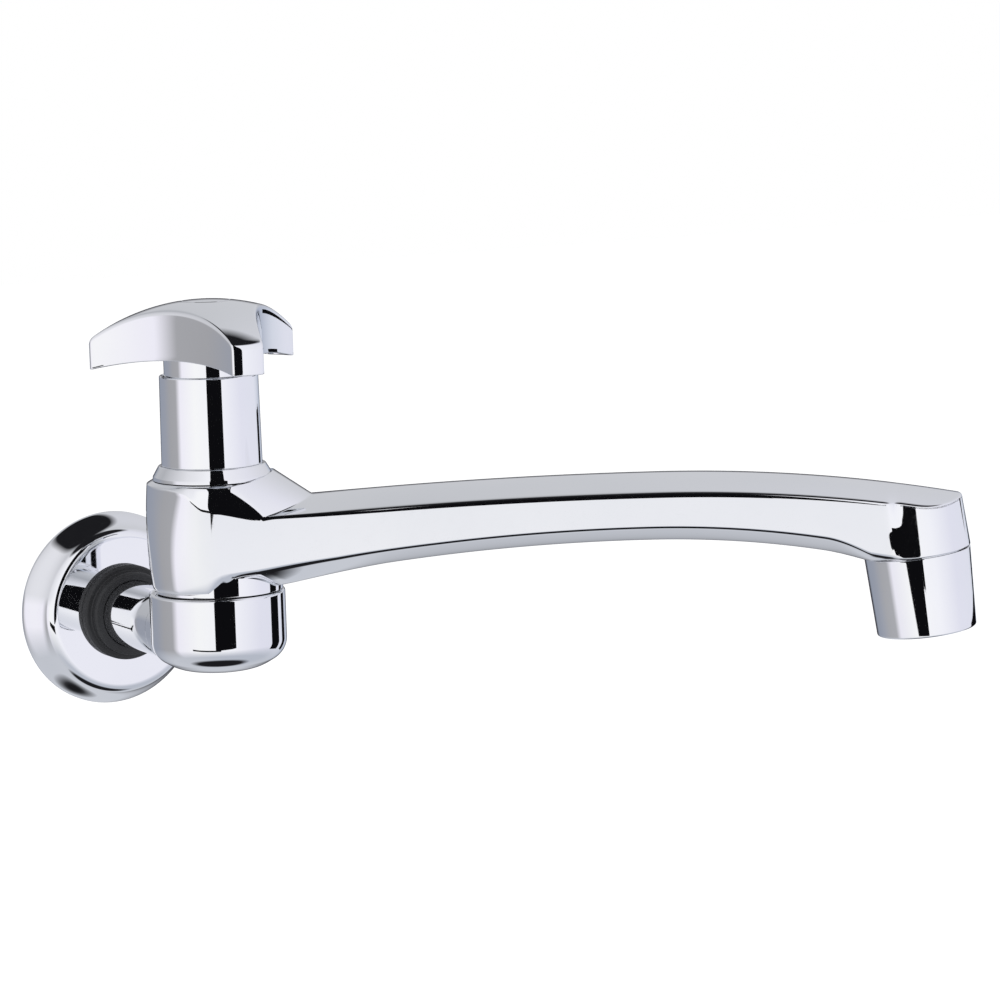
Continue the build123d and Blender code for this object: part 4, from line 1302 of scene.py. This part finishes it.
        def on_arch(points: Grid) -> Grid:
            """Points on the arched lower edge."""
            return self.dome(points, tip_z + self.arch, arch_radius)

        def inside(points: Grid) -> Grid:
            """Points on the inner dome."""
            return self.dome(points, apex - self.wall, self.dome_radius - self.wall)

        well = self.cap_radius + self.cap_gap
        ridge = on_dome(outer)
        toward = outer - unit * well
        span = np.linalg.norm(toward, axis=-1, keepdims=True)
        ridge_in = on_dome(outer - toward / span * self.ridge_soft)
        ridge_down = ridge - np.array([0, 0, self.ridge_soft])
        rim = on_arch(outer)
        rim_up = rim + np.array([0, 0, self.rim_soft])
        rim_in = on_arch(outer + (inner - outer) * self.rim_share)
        brink = unit * (well + self.well_soft)
        hub, boss, soft = self.hub_radius, self.boss_radius, self.hub_soft
        over = np.linspace(0.0, 1.0, self.dome_points)[:, None, None]
        under = np.linspace(0.0, 1.0, self.roof_points)[:, None, None]
        dome_rows = on_dome(brink + (ridge_in[:, :2] - brink) * over)
        roof_rows = inside(inner + (unit * hub - inner) * under)
        hub_in, seat = hub - self.wall, self.well_floor()
        head, drive_top = seat - self.head_height, low + self.drive_length
        hub_rings = [(hub, low + soft), (hub - soft, low), (hub_in + soft, low), (hub_in, low + soft)]
        boss_rings = [
            (boss, low + soft), (boss - soft, low), (self.drive_radius, low), (self.drive_radius, drive_top),
            (self.screw_shank, drive_top), (self.screw_shank, head), (self.screw_head, head),
            (self.screw_head, seat), (well, seat), (well, apex - self.well_edge),
        ]
        rows = [
            dome_rows[:-1],
            corner_rows(ridge_in, ridge, ridge_down, 6),
            straight_rows(ridge_down, rim_up, 10),
            corner_rows(rim_up, rim, rim_in, 5),
            straight_rows(rim_in, on_arch(inner), 2),
            straight_rows(on_arch(inner), inside(inner), 6),
            roof_rows,
            np.stack([flat(*ring) for ring in hub_rings]),
            np.stack([inside(unit * hub_in), inside(unit * boss)]),
            np.stack([flat(*ring) for ring in boss_rings]),
        ]
        return np.concatenate(rows)

    def tip_z(self) -> float:
        """Height of the arms' lower tips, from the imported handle."""
        points = self.packed_points()
        far = np.hypot(points[:, 0], points[:, 1]) > self.reach - self.tip_depth
        return float(points[far, 2].min())

    def well_floor(self) -> float:
        """Height of the cap's seat."""
        return node_span("index_cap", 2)[0] - CLEARANCE

    def cap_profile(self) -> Grid:
        """Flush cap: domed top with a soft edge, down to its flat underside."""
        low, apex = node_span("index_cap", 2)
        radius = np.linspace(0.0, self.cap_radius - self.cap_soft, self.cap_points)
        top = apex - self.dome_radius + np.sqrt(self.dome_radius**2 - radius**2)
        edge = apex - self.dome_radius + sqrt(self.dome_radius**2 - self.cap_radius**2)
        side = [[self.cap_radius, z] for z in (edge - self.cap_soft, edge - self.well_edge, low)]
        return np.concatenate([joined(radius, top), np.array([*side, [0.0, low]])])

    def build(self) -> None:
        """Make and dress the handle and its cap."""
        skin = Skin().add(on_swivel_axis(self.grid()), wrap_rows=True)
        dress(skin.build("arm_handle"), "turning_handle", "chrome_handle", "handle_body")
        cap = lathe(self.cap_profile(), on_swivel_axis, closed=False, turns=FEWER_TURNS).build("flush_cap")
        dress(cap, "turning_handle", "chrome_cap", "index_cap")


# ---- studio -------------------------------------------------------------------------------------
@dataclass
class Camera:
    """The photograph's camera: place, lens and sensor in millimetres, angles in radians."""

    place: tuple[float, float, float] = (-415.432, -885.052, 163.840)
    yaw: float = radians(31.63)
    pitch: float = radians(8.01)
    roll: float = radians(1.64)
    lens: float = 126.0
    sensor: float = 36.0

    def level_axes(self) -> tuple[Vector, Vector]:
        """Level directions to the right and away from the camera."""
        return Vector((cos(self.yaw), -sin(self.yaw), 0)), Vector((sin(self.yaw), cos(self.yaw), 0))

    def build(self) -> None:
        """Make the camera and make it the scene's."""
        right, away = self.level_axes()
        up = Vector((0, 0, 1))
        ahead = cos(self.pitch) * away - sin(self.pitch) * up
        above = cos(self.pitch) * up + sin(self.pitch) * away
        across = cos(self.roll) * right - sin(self.roll) * above
        top = cos(self.roll) * above + sin(self.roll) * right
        data = bpy.data.cameras.new("camera")
        data.lens = self.lens
        data.sensor_width = self.sensor
        data.clip_start = 0.01
        camera = bpy.data.objects.new("camera", data)
        bpy.context.scene.collection.objects.link(camera)
        turn = Matrix((across, top, -ahead)).transposed().to_4x4()
        camera.matrix_world = Matrix.Translation(Vector(self.place) * METRES) @ turn
        bpy.context.scene.camera = camera


def flat_sheet(name: str, material: str, corners: Sequence[Vector]) -> bpy.types.Object:
    """Four-cornered sheet with a new material.

    Args:
        name: Name of the object.
        material: Name of its material.
        corners: Corners in millimetres, in order round the sheet.

    Returns:
        The sheet, linked to the scene.
    """
    mesh = bpy.data.meshes.new(name)
    mesh.from_pydata([corner * METRES for corner in corners], [], [(0, 1, 2, 3)])
    mesh.materials.append(bpy.data.materials.new(material))
    sheet = bpy.data.objects.new(name, mesh)
    bpy.context.scene.collection.objects.link(sheet)
    return sheet


@dataclass
class Card:
    """An upright card beside the object, seen only in reflections.

    Its two ends are plan points round the swivel axis: across to the camera's right, and towards
    the camera.
    """

    name: str
    left: Pair
    right: Pair
    bottom: float
    top: float
    shade: Colour = (0.004, 0.004, 0.005)

    def build(self, camera: Camera) -> None:
        """Stand the card in its place.

        Args:
            camera: Camera whose level directions the plan points are measured along.
        """
        right, away = camera.level_axes()
        plan = self.left, self.right
        ends = [Vector(SWIVEL) + right * across - away * towards for across, towards in plan]
        low, high = Vector((0, 0, self.bottom)), Vector((0, 0, self.top))
        corners = [ends[0] + low, ends[1] + low, ends[1] + high, ends[0] + high]
        card = flat_sheet(self.name, self.name, corners)
        tree = Tree(card.data.materials[0])
        glow = tree.add("Emission", {"Color": (*self.shade, 1.0)})
        tree.add("OutputMaterial", {"Surface": glow.outputs["Emission"]})
        card.visible_camera = False
        card.visible_diffuse = False
        card.visible_shadow = False
        card.visible_transmission = False


@dataclass
class Studio:
    """White room with a pale floor, soft light and cards that the chrome mirrors.

    The shades go by the bearing round the object in degrees, from 0 towards the camera to 90 on
    its right. The lamp's place and size are in metres and its power is in watts.
    """

    floor_z: float = -150.0
    floor_size: float = 6000.0
    roof_rise: Pair = (radians(3.0), radians(12.0))
    ground_fall: Pair = (radians(-46.0), radians(-17.0))
    zenith: Pair = (radians(57.0), radians(64.0))
    nadir: Pair = (radians(-70.0), radians(-62.0))
    cap_shade: Colour = (0.012, 0.012, 0.014)
    floor_shade: Colour = (0.82, 0.82, 0.83)
    floor_glow: float = 0.22
    lamp_place: tuple[float, float, float] = (-0.5, -0.9, 1.3)
    lamp_size: float = 1.2
    lamp_power: float = 6.0
    side_shades: dict[float, Colour] = field(default_factory=lambda: {
        -180.0: (0.04, 0.04, 0.05), -164.0: (0.05, 0.05, 0.06), -152.0: (0.30, 0.33, 0.40),
        -122.0: (0.33, 0.35, 0.41), -100.0: (0.38, 0.38, 0.40), -80.0: (0.40, 0.40, 0.42),
        -68.0: (0.92, 0.90, 0.98), -30.0: (1.0, 1.0, 1.0), 30.0: (0.95, 0.95, 1.0),
        80.0: (0.80, 0.80, 0.90), 130.0: (0.78, 0.79, 0.88), 145.0: (0.68, 0.71, 0.80),
        166.0: (0.42, 0.46, 0.56), 172.0: (0.05, 0.05, 0.06), 180.0: (0.04, 0.04, 0.05),
    })
    roof_shades: dict[float, Colour] = field(default_factory=lambda: {
        -180.0: (0.60, 0.61, 0.64), -120.0: (0.46, 0.47, 0.50), -60.0: (0.80, 0.80, 0.84),
        0.0: (0.96, 0.96, 1.0), 90.0: (0.80, 0.80, 0.88), 180.0: (0.60, 0.61, 0.64),
    })
    ground_shades: dict[float, Colour] = field(default_factory=lambda: {
        -180.0: (0.60, 0.62, 0.67), -60.0: (0.56, 0.58, 0.63), 20.0: (0.50, 0.53, 0.60),
        120.0: (0.50, 0.53, 0.60), 180.0: (0.60, 0.62, 0.67),
    })
    cards: tuple[Card, ...] = (
        Card("dark_opening", (-6.0, 268.0), (212.0, 330.0), -70.0, 900.0),
        Card("dark_gap_right", (400.0, -100.0), (340.0, -245.0), -200.0, -30.0),
        Card("low_dark_left", (-1300.0, 1500.0), (200.0, 1500.0), -540.0, -375.0),
        Card("far_dark_edge", (985.0, -1130.0), (705.0, -1325.0), -700.0, -92.0),
        Card("far_dark_end", (1330.0, -964.0), (544.0, -1455.0), -38.0, 25.0),
    )

    def world(self, camera: Camera) -> None:
        """White background for the camera, and a tent with greyer sides for reflections.

        In reflections the shade follows the bearing round the object. It gives way to the roof's
        shade above the horizon, to the ground's shade well below it, and to a dark cap at the
        zenith and at the nadir.
        """
        world = bpy.data.worlds.new("studio")
        bpy.context.scene.world = world
        tree = Tree(world)
        place = tree.add("TexCoord").outputs["Generated"]
        turn = tree.add("Mapping", {"Rotation": (0.0, 0.0, camera.yaw), "Vector": place})
        turn.vector_type = "VECTOR"
        parts = tree.add("SeparateXYZ", {"Vector": turn.outputs["Vector"]}).outputs
        bearing = tree.maths("ARCTAN2", parts["X"], tree.maths("MULTIPLY", parts["Y"], -1.0))

        def around(shades: dict[float, Colour]) -> bpy.types.NodeSocket:
            """Shade by the bearing."""
            return tree.wide_ramp(bearing, -pi, pi, {radians(at): shade for at, shade in shades.items()})

        def between(limits: Pair, first: float, last: float) -> bpy.types.NodeSocket:
            """Grey that goes from first to last between two elevations."""
            stops = {sin(limits[0]): (first,) * 3, sin(limits[1]): (last,) * 3}
            return tree.wide_ramp(parts["Z"], -1.0, 1.0, stops)

        cap = (*self.cap_shade, 1.0)
        tent = tree.mix(between(self.roof_rise, 0.0, 1.0), around(self.side_shades), around(self.roof_shades))
        tent = tree.mix(between(self.ground_fall, 1.0, 0.0), tent, around(self.ground_shades))
        tent = tree.mix(between(self.zenith, 0.0, 1.0), tent, cap)
        tent = tree.mix(between(self.nadir, 1.0, 0.0), tent, cap)
        plain = tree.add("Background", {"Color": (1.0, 1.0, 1.0, 1.0)}).outputs["Background"]
        mirrored = tree.add("Background", {"Color": tent}).outputs["Background"]
        glossy = tree.add("LightPath").outputs["Is Glossy Ray"]
        choose = tree.add("MixShader", {"Fac": glossy, 1: plain, 2: mirrored})
        tree.add("OutputWorld", {"Surface": choose.outputs["Shader"]})

    def floor(self) -> None:
        """Pale floor that keeps a soft shadow and runs out white to the background."""
        half = self.floor_size / 2
        plan = (-half, -half), (half, -half), (half, half), (-half, half)
        floor = flat_sheet("floor", "pale_floor", [Vector((x, y, self.floor_z)) for x, y in plan])
        floor.visible_glossy = False
        tree = Tree(floor.data.materials[0], empty=False)
        rays = tree.add("LightPath").outputs
        seen = tree.maths("MAXIMUM", rays["Is Camera Ray"], rays["Is Glossy Ray"])
        surface = {
            "Base Color": (*self.floor_shade, 1.0),
            "Roughness": 0.9,
            "Specular IOR Level": 0.0,
            "Emission Color": (1.0, 1.0, 1.0, 1.0),
            "Emission Strength": tree.maths("MULTIPLY", seen, self.floor_glow),
        }
        tree.fill(tree.nodes["Principled BSDF"], surface)

    def lamp(self) -> None:
        """Large soft lamp above and in front, which the chrome doesn't mirror."""
        data = bpy.data.lights.new("soft_lamp", "AREA")
        data.shape = "DISK"
        data.size = self.lamp_size
        data.energy = self.lamp_power
        lamp = bpy.data.objects.new("soft_lamp", data)
        lamp.location = self.lamp_place
        aim = Vector(SWIVEL) * METRES - lamp.location
        lamp.rotation_euler = aim.to_track_quat("-Z", "Y").to_euler()
        lamp.visible_glossy = False
        bpy.context.scene.collection.objects.link(lamp)

    def build(self, camera: Camera) -> None:
        """Set up the whole studio."""
        self.world(camera)
        self.floor()
        self.lamp()
        for card in self.cards:
            card.build(camera)
        bpy.context.scene.view_settings.view_transform = "Standard"


def main() -> None:
    """Build the camera, the studio and the tap."""
    logging.basicConfig(level=logging.INFO, format="%(name)s: %(message)s")
    camera = Camera()
    camera.build()
    Studio().build(camera)
    finish_packed_nodes()
    for assembly in (WallEnd(), BodyCasting(), Headwork(), SpoutCasting(), Nozzle(), ArmHandle()):
        assembly.build()


if __name__ == "__main__":
    main()
